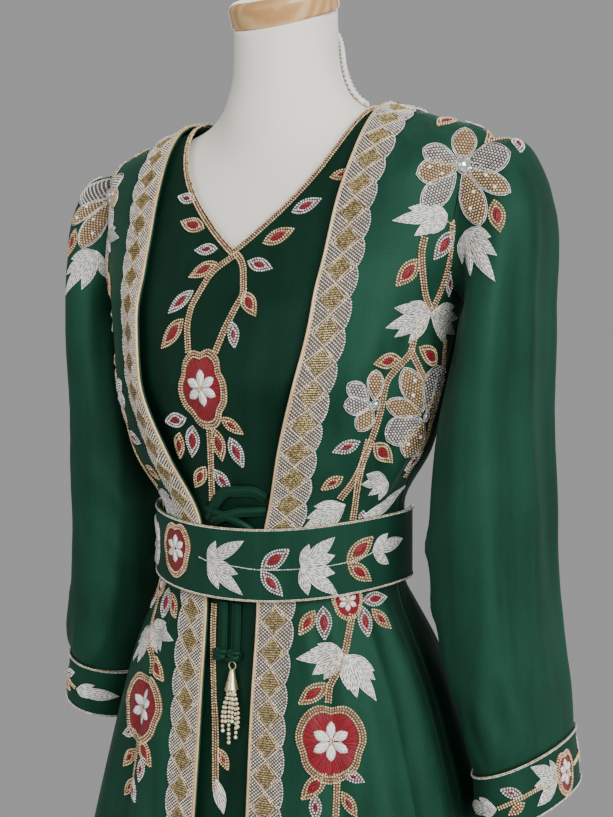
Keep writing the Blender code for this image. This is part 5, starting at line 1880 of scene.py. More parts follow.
    def daisy(self, spot: Spot, petals: int, length: float, width: float, lift: float = 0.0012) -> None:
        """White satin petals round a gold bead."""
        for number in range(petals):
            petal = spot.turned(number * 360.0 / petals, length).moved(0.0012, 0.0)
            self.dome(Silk.PETAL, petal, width / 2, 0.0020, fullest=0.55, blunt=0.7, cut=(8, 7), lift=lift)
        turn = np.append(np.linspace(0.0, math.tau, 7)[:-1], 0.0)
        reach = np.append(np.full(6, 0.0019), 0.0)
        beads = spot.at(np.cos(turn) * reach, np.sin(turn) * reach)
        self.scatter(Supply.GOLD, beads, spot.normal, lift + 0.0026)

    def bloom(self, spot: Spot, half: tuple[float, float], lobes: Callable[[np.ndarray], np.ndarray],
              petal: tuple[float, float] = (0.0158, 0.0086)) -> None:
        """A crimson flower with a bead rim and a white daisy in its middle."""
        turn = np.linspace(0.0, 2 * math.pi, 49)
        edge = lobes(turn)
        far, wide = np.cos(turn) * half[1] * edge, np.sin(turn) * half[0] * edge

        def rings(silk: Silk, shares: Sequence[float], lifts: Sequence[float]) -> None:
            out = np.array(shares)[:, None]
            chart = np.stack([out * turn * 0, out * 0 + turn * self.strokes], -1)
            self.patch(silk, spot.at(far * out, wide * out), chart, spot.normal, np.array(lifts)[:, None])

        rings(Silk.RED, (0.0, 0.25, 0.5, 0.7, 0.84), (0.0020, 0.0019, 0.0018, 0.0015, 0.0010))
        # Backing ring painted dark as shade round the rim beads.
        rings(Silk.GOLD, (0.78, 0.86, 0.94, 1.0), (0.0012, 0.0017, 0.0015, 0.0003))
        rims = ((Supply.GOLD, 0.82, 0.0024), (Supply.ROSE, 0.90, 0.0023), (Supply.GOLD, 0.975, 0.0016))
        for supply, share, lift in rims:
            self.sew(supply, spot.at(far * share, wide * share), spot.normal, lift)
        self.daisy(spot, 6, petal[0], petal[1], 0.0018)

    def hem(self, grid: np.ndarray) -> None:
        """Sews a cord and a row of fine beads along the upper and lower edges of a band's grid."""
        out = unit(np.cross(np.gradient(grid, axis=0), np.gradient(grid, axis=1)))
        for row, inner in ((0, 1), (-1, -2)):
            way = unit(grid[inner] - grid[row])
            for supply, lift, inset in ((Supply.FINE, 0.0033, 0.0014), (Supply.CORD, 0.0030, 0.0003)):
                self.sew(supply, grid[row] + out[row] * lift + way * inset)

    def settle(self) -> None:
        """Lays everything that has been sewn so far on the left side."""
        for supply, found in self.sewn.items():
            self.sewn[supply] = [item.settled(self.ground) for item in found]

    def build(self, side: Side = Side.LEFT, nodes: Sequence[str] = (), ground: Ground | None = None) -> None:
        """Makes the pieces.

        Args:
            side: The side of the garment that they are for.
            nodes: The CAD nodes that the first piece stands for.
            ground: The cloth of that side, if it isn't the left one.
        """
        stem, waiting = self.name.format(side=side.word), list(nodes)
        for supply, found in self.sewn.items():
            laid = [(item.laid(ground or self.ground, side), item) for item in found]
            if isinstance(supply, Silk):
                name, (finish, slot) = f"{stem}_{supply.name.lower()}_patches", supply.value
                order = 1 if side is Side.LEFT else -1
                grids = [(points[:, ::order], item.chart[:, ::order]) for points, item in laid]
                mesh = joined_grids(name, grids)
            else:
                stock = supply.value
                name, finish, slot = f"{stem}_{stock.word}", stock.finish, stock.slot
                ways = [way for points, item in laid for way in (points[:, None] if item.loose else [points])]
                sizes = {"Radius": stock.radius, "Material": PALETTE.of(finish)}
                if stock.pitch:
                    sizes |= {"Pitch": stock.pitch, "Uneven": stock.uneven, "Seed": len(ways)}
                    mesh = Workshop.run(name, ways, bead_setting, **sizes)
                else:
                    mesh = Workshop.run(name, ways, thread_laying, Sides=stock.sides, **sizes)
            add_piece(name, mesh, finish, slot, *waiting)
            waiting = []


def joined_grids(name: str, grids: Sequence[tuple[np.ndarray, np.ndarray]]) -> bpy.types.Mesh:
    """One mesh of several grids, each with its own chart."""
    spots, faces, charts, count = [], [], [], 0
    for points, chart in grids:
        quads = quad_corners(*points.shape[:2])
        spots.append(points.reshape(-1, 3))
        faces.append(quads + count)
        charts.append(chart.reshape(-1, 2)[quads.ravel()])
        count += len(spots[-1])
    mesh = bpy.data.meshes.new(name)
    mesh.from_pydata(np.concatenate(spots).tolist(), [], np.concatenate(faces).tolist())
    layer = mesh.uv_layers.new(name="cloth")
    layer.data.foreach_set("uv", np.concatenate(charts).ravel())
    mesh.shade_smooth()
    return mesh


@dataclass
class Strip:
    """A band of cloth beside an edge, read by distance from the edge and length along it."""

    points: np.ndarray
    pitch: float = 0.002
    run: np.ndarray = field(init=False)
    normals: np.ndarray = field(init=False)

    def __post_init__(self) -> None:
        """Measures the edge and finds the normals."""
        steps = np.linalg.norm(np.diff(self.points[:, 0], axis=0), axis=-1)
        self.run = np.concatenate([[0.0], np.cumsum(steps)])
        self.normals = unit(np.cross(np.gradient(self.points, axis=0), np.gradient(self.points, axis=1)))

    @classmethod
    def beside(cls, grid: np.ndarray, width: float = 0.044) -> Strip:
        """The band of a grid beside its first column."""
        away = np.arange(0.0, width, cls.pitch)
        pairs = zip(row_lengths(grid), grid)
        rows = [[np.interp(away, length, row[:, axis]) for axis in range(3)] for length, row in pairs]
        return cls(np.array(rows).transpose(0, 2, 1))

    def at(self, away: np.ndarray, along: np.ndarray, lift: np.ndarray | float) -> np.ndarray:
        """Points at distances from the edge and along it, lifted off the cloth."""
        away, along, lift = np.broadcast_arrays(away, along, lift)
        row = np.clip(np.interp(along, self.run, np.arange(len(self.run))), 0, len(self.run) - 1.001)
        column = np.clip(away / self.pitch, 0, self.points.shape[1] - 1.001)
        return bilinear(self.points, row, column) + bilinear(self.normals, row, column) * lift[..., None]


@dataclass
class BeadedBorder:
    """A scalloped strip of close beading with a chain of diamonds down its middle, piped along the edge."""

    strip: Strip
    work: Needlework
    width: float = 0.0322
    bulge: float = 0.0038
    scallop: float = 0.0272
    base: float = CLOTH + 0.0002
    thick: float = 0.0016
    lattice: float = 0.00158
    spread: float = 0.00184
    middle: float = 0.0178
    diamond: tuple[float, float] = (0.0100, 0.0116)
    rim: float = 0.0008
    beaded: tuple[float, float] = (0.0040, 0.042)
    clear: float = 1.10
    bugle: float = 0.0028
    bugle_pitch: float = 0.0034
    bugle_row: float = 0.0021
    shortest: float = 0.0006
    stagger: float = 0.0005
    crossing: float = 0.0132
    waves: int = field(init=False)
    wave: float = field(init=False)

    def __post_init__(self) -> None:
        """Fits a whole number of scallops."""
        self.waves = round(self.strip.run[-1] / self.scallop)
        self.wave = self.strip.run[-1] / self.waves

    def outer(self, along: np.ndarray) -> np.ndarray:
        """The scalloped edge's distance from the straight one."""
        return self.width + self.bulge * np.abs(np.sin(math.pi * along / self.wave)) ** 0.7

    def from_diamond(self, away: np.ndarray, along: np.ndarray) -> np.ndarray:
        """1 on a diamond's outline, less inside and more outside."""
        drift = np.abs((along + self.wave / 2) % self.wave - self.wave / 2)
        return np.abs(away - self.middle) / self.diamond[0] + drift / self.diamond[1]

    def ground(self) -> None:
        """The strip under the beads, painted dark as shade between them, with a wall all round."""
        along = np.linspace(0.0, self.strip.run[-1], self.waves * 10 + 1)[:, None]
        share = np.linspace(0.0, 1.0, 11)[None, :]
        away = self.rim + (self.outer(along) - self.rim) * share
        inside = (share > 0.001) & (share < 0.999)
        lift = self.base + np.where(inside, self.thick, 0.0)
        points = self.strip.at(away, along, lift)
        # Painted shade: the strip's dark colour stands for the shade between the beads.
        self.work.patch(Silk.SILVER, points, np.stack(np.broadcast_arrays(away, along), -1))

    def beads(self) -> None:
        """The close beading between the diamonds, and the row on the scalloped edge."""
        step, top = self.lattice, self.base + self.thick
        spots = []
        for number, along in enumerate(np.arange(step / 2, self.strip.run[-1], step)):
            away = np.arange(self.beaded[0] + (number % 2) * self.spread, self.beaded[1], 2 * self.spread)
            spots.append(np.stack([away, np.full_like(away, along)], -1))
        place = np.concatenate(spots)
        away, along = place[:, 0], place[:, 1]
        kept = (away < self.outer(along) - 0.0016) & (self.from_diamond(away, along) > self.clear)
        self.work.scatter(Supply.LATTICE, self.strip.at(away[kept], along[kept], top + 0.00045))
        run = np.linspace(0.0, self.strip.run[-1], self.waves * 12 + 1)
        self.work.sew(Supply.SILVER, self.strip.at(self.outer(run) - 0.0006, run, self.base + 0.0009))

    def diamonds(self) -> None:
        """Bugle stitches that fill each diamond, the cord round it, and the cords that cross between two."""
        top, row, cross = self.base + self.thick, self.bugle_row, self.crossing
        wide, tall = self.diamond
        for number in range(self.waves + 1):
            heart = number * self.wave
            for line in range(-4, 5):
                along = heart + line * row
                reach = wide * (1 - abs(line * row) / tall) - self.rim
                starts = np.arange(-reach, reach - self.rim, self.bugle_pitch) + (line % 2) * self.stagger
                for start in starts:
                    ends = np.array([start, min(start + self.bugle, reach)]) + self.middle
                    if 0.0 < along < self.strip.run[-1] and ends[1] - ends[0] > self.shortest:
                        self.work.sew(Supply.BUGLE, self.strip.at(ends, np.full(2, along), top + 0.0004))
            self.cord([(0, -tall), (wide, 0), (0, tall), (-wide, 0), (0, -tall)], heart)
            between = heart + self.wave / 2
            self.cord([(-cross, -cross), (0, 0), (cross, cross)], between)
            self.cord([(cross, -cross), (0, 0), (-cross, cross)], between)

    def cord(self, corners: Sequence[tuple[float, float]], heart: float) -> None:
        """A gold cord through corners given from the middle line and from a heart."""
        away = np.array([corner[0] for corner in corners]) + self.middle
        along = np.array([corner[1] for corner in corners]) + heart
        if along.min() > 0.0 and along.max() < self.strip.run[-1]:
            self.work.sew(Supply.CORD, self.strip.at(away, along, self.base + self.thick + 0.0006))

    def piping(self) -> None:
        """The champagne piping on the straight edge and the gold cord beside it."""
        run = np.linspace(0.0, self.strip.run[-1], self.waves * 5 + 1)
        low, top = self.base + 0.0010, self.base + self.thick + 0.0002
        for supply, away, lift in ((Supply.PIPING, 0.0012, low), (Supply.CORD, 0.0030, top)):
            self.work.sew(supply, self.strip.at(np.full_like(run, away), run, lift))

    def lay(self) -> None:
        """Lays the whole border."""
        self.ground()
        self.beads()
        self.diamonds()
        self.piping()


LeafRow = tuple[str, float, float, float, float]
PetalRow = tuple[str, float, float, float, float]
Pixel = tuple[float, float]


def two_lobes(turn: np.ndarray) -> np.ndarray:
    """Outline of a heart-topped flower, 1 at its widest, by the turn from its top."""
    away = np.abs((turn + math.pi) % (2 * math.pi) - math.pi)
    notch = 0.17 * np.exp(-((away / 0.30) ** 2))
    point = 0.06 * np.exp(-(((math.pi - away) / 0.35) ** 2))
    waist = 0.10 * np.exp(-(((away - 1.9) / 0.30) ** 2))
    return 1.0 - notch - waist + point


def four_lobes(turn: np.ndarray) -> np.ndarray:
    """Outline of a tall flower with two upper lobes and two side ones."""
    away = np.abs((turn + math.pi) % (2 * math.pi) - math.pi)
    dips = 0.15 * np.exp(-((away / 0.26) ** 2)) + 0.13 * np.exp(-(((away - 1.15) / 0.22) ** 2))
    dips = dips + 0.12 * np.exp(-(((away - 2.35) / 0.26) ** 2))
    return 1.0 - dips


@dataclass
class Motifs:
    """Vines read off the picture: leaves as kind, base and tip, white fans and stems."""

    leaves: tuple[LeafRow, ...] = ()
    fans: tuple[tuple[Pixel, ...], ...] = ()
    stems: tuple[tuple[Pixel, ...], ...] = ()

    def sew(self, work: Needlework, rows: Sequence[tuple[Supply, float]] = STEM_ROWS) -> None:
        """Sews them all."""
        for stem in self.stems:
            work.stem(stem, rows)
        for leaf in self.leaves:
            work.leaf(leaf)
        for base, *tips in self.fans:
            work.fan(base, tips)


@dataclass
class DressVine:
    """The embroidery of the dress front: a V of beads, a vine and a crimson flower."""

    grid: np.ndarray
    trim_short: float = 0.7
    motifs: Motifs = field(default_factory=lambda: Motifs(
        leaves=(
            ("S", 196, 201, 178, 197), ("G", 205, 229, 181, 222), ("S", 218, 249, 195, 251),
            ("G", 218, 263, 189, 278), ("S", 194, 291, 169, 314), ("G", 184, 319, 162, 349),
            ("S", 292, 213, 322, 199), ("G", 263, 244, 295, 229), ("G", 330, 178, 356, 172),
            ("S", 248, 262, 273, 269), ("G", 244, 292, 256, 317), ("S", 233, 322, 235, 349),
            ("S", 187, 418, 166, 421), ("S", 193, 425, 193, 457), ("G", 180, 432, 181, 459),
            ("G", 215, 428, 223, 461), ("S", 230, 437, 244, 468), ("G", 221, 417, 244, 434),
            ("G", 206, 466, 196, 487), ("S", 215, 469, 232, 493), ("G", 219, 748, 229, 771),
        ),
        stems=(
            ((237, 255), (228, 261), (213, 273), (200, 293), (191, 311), (188, 330), (189, 352)),
            ((236, 254), (241, 260), (244, 272), (244, 291), (235, 310), (225, 330), (216, 352)),
            ((210, 424), (211, 445), (212, 470), (213, 500)),
            ((215, 604), (214, 633), (214, 657), (215, 699), (216, 742), (216, 790)),
        ),
        fans=(((216, 778), (224, 814)),),
    ))

    def neck_edge(self, work: Needlework) -> None:
        """Three rows of beads along the V, which end short of the shoulder seams."""
        middle = self.grid.shape[1] // 2
        last = round(middle * V_SHARE - self.trim_short)
        edge = self.grid[0, middle - last : middle + last + 1]
        below = self.grid[3, middle - last : middle + last + 1]
        drop = unit(below - edge)
        centre = edge + drop * 0.0042
        run = np.linspace(0, len(edge) - 1, 4 * len(edge))
        points = np.stack([np.interp(run, np.arange(len(edge)), centre[:, axis]) for axis in range(3)], -1)
        slope = np.gradient(points, axis=0)
        inner = np.stack([np.interp(run, np.arange(len(edge)), drop[:, axis]) for axis in range(3)], -1)
        normals = unit(np.cross(inner, slope))
        normals *= np.sign((normals * np.array([0.0, -1.0, 0.0])).sum(axis=-1, keepdims=True))
        work.band(points, normals, STEM_ROWS)

    def build(self) -> None:
        """Sews it."""
        ground = Ground("dress_front_cloth")
        trim = Needlework("neck_edge", ground)
        self.neck_edge(trim)
        trim.build(nodes=["neck_trim"])
        work = Needlework("dress_vine", ground)
        self.motifs.sew(work)
        work.bloom(work.spot((202, 388), (201, 352)), (0.0265, 0.0375), four_lobes, (0.0152, 0.0086))
        work.build(nodes=["bloom_dress_front"])


@dataclass
class RobeVine:
    """The embroidery of a robe front: shoulder flower, trailing vine, chest flower and crimson flowers."""

    pearled: float = 0.034
    shoulder: tuple[PetalRow, ...] = (
        ("S", 510, 153, 50, 33), ("S", 423, 149, 38, 22), ("S", 423, 208, 48, 26),
        ("G", 509, 192, 48, 20), ("G", 465, 127, 38, 27), ("G", 480, 224, 56, 25),
        ("G", 417, 174, 42, 27),
    )
    chest: tuple[PetalRow, ...] = (
        ("G", 405, 369, 48, 24), ("G", 387, 403, 40, 22), ("S", 387, 440, 44, 32),
        ("G", 405, 457, 44, 24), ("S", 443, 364, 52, 26), ("G", 449, 392, 36, 22),
    )
    bud: tuple[PetalRow, ...] = (
        ("S", 344, 406, 28, 20), ("G", 376, 370, 32, 17), ("G", 358, 431, 28, 18),
        ("S", 348, 384, 26, 18),
    )
    tip_motifs: Motifs = field(default_factory=lambda: Motifs(
        leaves=(
            ("G", 455, 118, 437, 127), ("S", 466, 119, 484, 128), ("G", 487, 130, 508, 128),
            ("S", 515, 134, 520, 154), ("G", 494, 200, 500, 233),
        ),
        fans=(((466, 231), (494, 280), (491, 237), (496, 255), (471, 276), (463, 264)),),
    ))
    motifs: Motifs = field(default_factory=lambda: Motifs(
        leaves=(
            ("S", 456, 231, 433, 260), ("G", 419, 259, 395, 287), ("S", 452, 270, 448, 297),
            ("G", 400, 358, 373, 364), ("G", 418, 347, 436, 364), ("S", 360, 441, 332, 452),
            ("G", 373, 443, 392, 462), ("G", 343, 476, 320, 490), ("S", 363, 510, 361, 526),
            ("S", 422, 450, 403, 471), ("G", 315, 610, 299, 636), ("S", 323, 606, 325, 641),
            ("S", 362, 606, 368, 638), ("G", 371, 609, 391, 629), ("S", 362, 601, 386, 597),
            ("G", 328, 683, 299, 704), ("G", 326, 773, 301, 800), ("S", 315, 794, 316, 822),
            ("S", 343, 771, 365, 782), ("G", 342, 791, 357, 817), ("S", 333, 822, 318, 846),
            ("G", 338, 824, 352, 848),
        ),
        fans=(
            ((447, 215), (392, 221), (408, 208), (414, 236), (430, 205), (432, 234)),
            ((430, 312), (385, 328), (394, 308), (410, 302), (394, 337), (408, 343)),
            ((430, 313), (461, 336), (454, 306), (457, 318), (445, 345)),
            ((388, 483), (361, 484), (366, 474), (368, 495), (378, 500)),
            ((410, 487), (373, 513)),
            ((345, 504), (300, 533), (314, 506), (306, 518), (322, 531)),
            ((343, 653), (296, 659), (318, 644), (311, 650), (313, 674), (324, 679)),
            ((345, 655), (376, 701), (348, 690), (357, 698), (374, 671), (375, 680)),
        ),
        stems=(
            ((424, 238), (421, 255), (424, 292), (430, 310)),
            ((457, 208), (454, 230), (450, 254), (443, 282), (432, 309)),
            ((428, 314), (414, 337), (410, 352), (386, 382), (379, 414), (366, 452), (354, 479), (340, 498)),
            ((410, 350), (424, 380)),
            ((368, 440), (358, 479), (352, 522)),
            ((444, 342), (442, 366), (439, 390), (432, 420), (421, 447), (404, 476)),
            ((352, 615), (349, 630), (344, 654), (338, 670), (330, 688), (328, 702)),
            ((337, 774), (336, 800), (334, 832)),
        ),
    ))

    def flower(self, work: Needlework, heart: Pixel, petals: Iterable[PetalRow], radius: float) -> None:
        """Bead-filled petals round a crystal, each given by kind, tip, length and width in pixels."""
        centre, out = work.ground.under(work.view, heart)
        normal = -np.array(work.view.ray(*heart))
        for kind, x, y, length, width in petals:
            reach = math.hypot(x - heart[0], y - heart[1])
            share = min(0.92, length / max(reach, 1.0))
            base = (x + (heart[0] - x) * share, y + (heart[1] - y) * share)
            spot = Spot.between(*(work.view.meet(pixel, centre, normal) for pixel in (base, (x, y))), normal)
            half = width / 2 * spot.length / length
            work.filled_petal(BEAD_KINDS[kind], spot, max(half, spot.length * 0.2))
            if kind == "G" and spot.length > self.pearled:
                dots = spot.at(np.array([0.42, 0.68]) * spot.length, np.array([0.3, -0.3]) * half)
                work.scatter(Supply.PEARL, dots, spot.normal, 0.0030)
        crystal = Spot.between(centre, centre + np.array([0.0, 0.0, 0.01]), out)
        work.crystal(crystal, radius)

    def build(self) -> None:
        """Sews it on the wearer's left front and sleeve head, and mirrors it on the right."""
        fronts = {side: Ground(f"robe_front_{side.word}_cloth") for side in Side}
        heads = {side: Ground(f"robe_front_{side.word}_cloth", f"sleeve_{side.word}_cloth") for side in Side}
        left = fronts[Side.LEFT]
        work = Needlework("robe_{side}_vine", left)
        self.motifs.sew(work)
        work.bloom(work.spot((331, 741), (331, 704)), (0.0320, 0.0350), two_lobes, (0.0160, 0.0088))
        work.bloom(work.spot((347, 601), (347, 583)), (0.0150, 0.0165), two_lobes, (0.0080, 0.0050))
        top = Needlework("shoulder_{side}_flower", heads[Side.LEFT])
        self.tip_motifs.sew(top)
        self.flower(top, (462, 166), self.shoulder, 0.0072)
        low = Needlework("chest_{side}_flower", left)
        self.flower(low, (424, 416), self.chest, 0.0036)
        self.flower(low, (374, 404), self.bud, 0.0036)
        for side in Side:
            work.build(side, [f"bloom_skirt_{side.word}"], fronts[side])
            top.build(side, [f"bloom_shoulder_{side.word}"], heads[side])
            low.build(side, [f"bloom_chest_{side.word}"], fronts[side])


@dataclass
class Borders:
    """The beaded borders of both fronts and of the back of the neck."""

    front: np.ndarray

    def back_strip(self) -> Strip:
        """The band of cloth round the back of the neck."""
        levels = np.linspace(ROBE_COLLAR_LEVEL, TIP_LEVEL, 60)
        angle, level = np.meshgrid(np.linspace(91.0, 269.0, 90), levels, indexing="ij")
        return Strip.beside(ROBE.at(angle, level, ROBE_OUT)[::-1])

    def build(self) -> None:
        """Lays the three borders."""
        work = Needlework("border_{side}", Ground("robe_front_left_cloth"))
        BeadedBorder(Strip.beside(self.front), work).lay()
        for side in Side:
            work.build(side, [f"border_{side.word}"])
        neck = Needlework("border_back_neck", work.ground)
        BeadedBorder(self.back_strip(), neck).lay()
        neck.build(nodes=["border_back_neck"])


@dataclass
class NeckBraid:
    """A plait of three silver cords that rises from the shoulders round the back of the neck."""

    angles: tuple[float, float] = (97.0, 263.0)
    levels: tuple[float, float] = (-0.22, -2.64)
    rounding: float = 0.45
    period: float = 0.0165
    away: float = 0.0034
    reach: float = 0.0042
    depth: float = 0.0010
    strand: float = 0.0019

    def build(self) -> None:
        """Makes the plait."""
        share = np.linspace(0, 1, 400)
        start, end = self.angles
        low, high = self.levels
        angle = start + (end - start) * share
        level = low + (high - low) * np.sin(math.pi * share) ** self.rounding
        normal = FORM.normal(angle, level)
        centre = FORM.at(angle, level, FORM_IN + self.away)
        run = np.concatenate([[0.0], np.cumsum(np.linalg.norm(np.diff(centre, axis=0), axis=-1))])
        across = unit(np.cross(np.gradient(centre, axis=0), normal))
        strands = []
        for number in range(3):
            turn = (2 * math.pi * (run / self.period + number / 3))[:, None]
            weave = across * (self.reach * np.sin(turn))
            strands.append(centre + weave + normal * (self.depth * np.sin(2 * turn)))
        values = {"Radius": self.strand, "Sides": 7, "Material": PALETTE.of(SILVER_CORD)}
        mesh = Workshop.run("neck_plait", strands, thread_laying, **values)
        add_piece("neck_plait", mesh, SILVER_CORD, "silver_beads", "neck_braid")


@dataclass
class BeltWork:
    """The embroidery of the belt: piped edges, a flower in front and a vine that runs to the side."""

    grid: np.ndarray
    flower: Pixel = (177, 548)
    flower_top: Pixel = (177, 521)
    motifs: Motifs = field(default_factory=lambda: Motifs(
        leaves=(
            ("S", 261, 569, 290, 549), ("S", 261, 571, 283, 596), ("G", 346, 562, 373, 536),
            ("G", 347, 563, 371, 581),
        ),
        fans=(
            ((208, 561), (244, 541), (216, 541), (243, 595), (219, 589), (238, 574)),
            ((301, 567), (335, 537), (309, 544), (335, 555), (338, 595), (308, 595), (335, 573)),
            ((372, 551), (402, 538), (387, 533), (388, 564)),
        ),
        stems=(
            ((200, 557), (211, 562), (233, 566), (265, 570), (301, 569), (327, 566), (347, 562), (369, 554),
             (376, 549)),
        ),
    ))

    def build(self) -> None:
        """Sews it."""
        ground = Ground("belt_band")
        work = Needlework("belt_vine", ground)
        self.motifs.sew(work, ((Supply.FINE, 0.0),))
        spot = work.spot(self.flower, self.flower_top)
        work.bloom(spot, (0.0215, 0.0265), two_lobes, (0.0120, 0.0072))
        heart = ground.under(work.view, self.flower)[0]
        middle = int(np.linalg.norm(self.grid[len(self.grid) // 2] - heart, axis=-1).argmin())
        Turnover(self.grid, middle).carry(work)
        work.build()
        edges = Needlework("belt_edges", ground)
        edges.hem(self.grid)
        edges.build()


@dataclass
class Turnover:
    """Repeats beadwork on the other side of a column of the grid that it lies on."""

    grid: np.ndarray
    column: int
    closed: bool = False
    clear: float = 0.012

    def frames(self, row: np.ndarray, column: np.ndarray) -> np.ndarray:
        """Corner, both steps and the outward direction at grid places."""
        around = np.gradient(self.grid, axis=1)
        down = np.gradient(self.grid, axis=0)
        tables = (self.grid, around, down, unit(np.cross(down, around)))
        return np.stack([table[row, column] for table in tables], -2)

    def over(self, points: np.ndarray) -> np.ndarray | None:
        """Where points come to lie, or nothing where the grid has no other side for them."""
        flat, columns = points.reshape(-1, 3), self.grid.shape[1]
        away = np.linalg.norm(self.grid.reshape(-1, 1, 3) - flat, axis=-1).argmin(axis=0)
        row, column = away // columns, away % columns
        other = 2 * self.column - column
        if self.closed:
            other = other % (columns - 1)
        if other.min() < 1 or other.max() > columns - 2:
            return None
        here, there = self.frames(row, column), self.frames(row, other)
        share = np.linalg.solve(here[:, 1:].transpose(0, 2, 1), (flat - here[:, 0])[..., None])[..., 0]
        share[:, 0] *= -1
        return (there[:, 0] + np.einsum("ni,nij->nj", share, there[:, 1:])).reshape(points.shape)

    def carry(self, work: Needlework) -> None:
        """Adds the other side to what has been sewn, except where it would meet the first."""
        work.settle()
        for supply, found in work.sewn.items():
            for item in list(found):
                moved = self.over(item.points)
                if moved is None or np.linalg.norm(moved - item.points, axis=-1).min() < self.clear:
                    continue
                chart = item.chart
                if isinstance(supply, Silk):
                    moved, chart = moved[:, ::-1], chart[:, ::-1]
                found.append(replace(item, points=moved, chart=chart))


@dataclass
class CuffWork:
    """The embroidery of the cuffs: hemmed edges, and a flower with leaves on its outer side."""

    grid: np.ndarray
    hang: np.ndarray
    flower: Pixel = (562, 767)
    stem: tuple[Pixel, ...] = ((552, 781), (538, 788), (524, 796), (510, 803), (499, 808))
    motifs: Motifs = field(default_factory=lambda: Motifs(
        leaves=(("S", 522, 795, 499, 789), ("G", 524, 802, 508, 815)),
        fans=(
            ((557, 778), (530, 767), (549, 760), (534, 786), (537, 806)),
            ((497, 809), (470, 803), (480, 797), (484, 815)),
        ),
    ))

    def build(self) -> None:
        """Sews the wearer's left cuff and repeats it on the right one."""
        ground = Ground("cuff_left_band")
        work = Needlework("cuff_{side}_vine", ground)
        self.motifs.sew(work)
        work.stem(self.stem, ((Supply.GOLD, -0.0010), (Supply.GOLD, 0.0010)))
        row, columns = len(self.grid) // 2, self.grid.shape[1]
        heart = ground.under(work.view, self.flower)[0]
        middle = int(np.linalg.norm(self.grid[row] - heart, axis=-1).argmin())
        Turnover(self.grid, middle, closed=True).carry(work)
        for column in (middle, (middle + (columns - 1) // 2) % (columns - 1)):
            centre, above = self.grid[row, column], self.grid[row - 6, column]
            around = self.grid[row, (column + 1) % (columns - 1)] - centre
            spot = Spot.between(centre, above, np.cross(centre - above, around))
            work.bloom(spot, (0.0175, 0.0200), two_lobes, (0.0100, 0.0062))
        work.hem(self.grid)
        work.settle()
        for side in Side:
            shift = self.hang if side is Side.RIGHT else np.zeros(3)
            shifted = Needlework(work.name, ground)
            for supply, found in work.sewn.items():
                shifted.sewn[supply] = [replace(item, points=item.points + shift) for item in found]
            shifted.build(side)


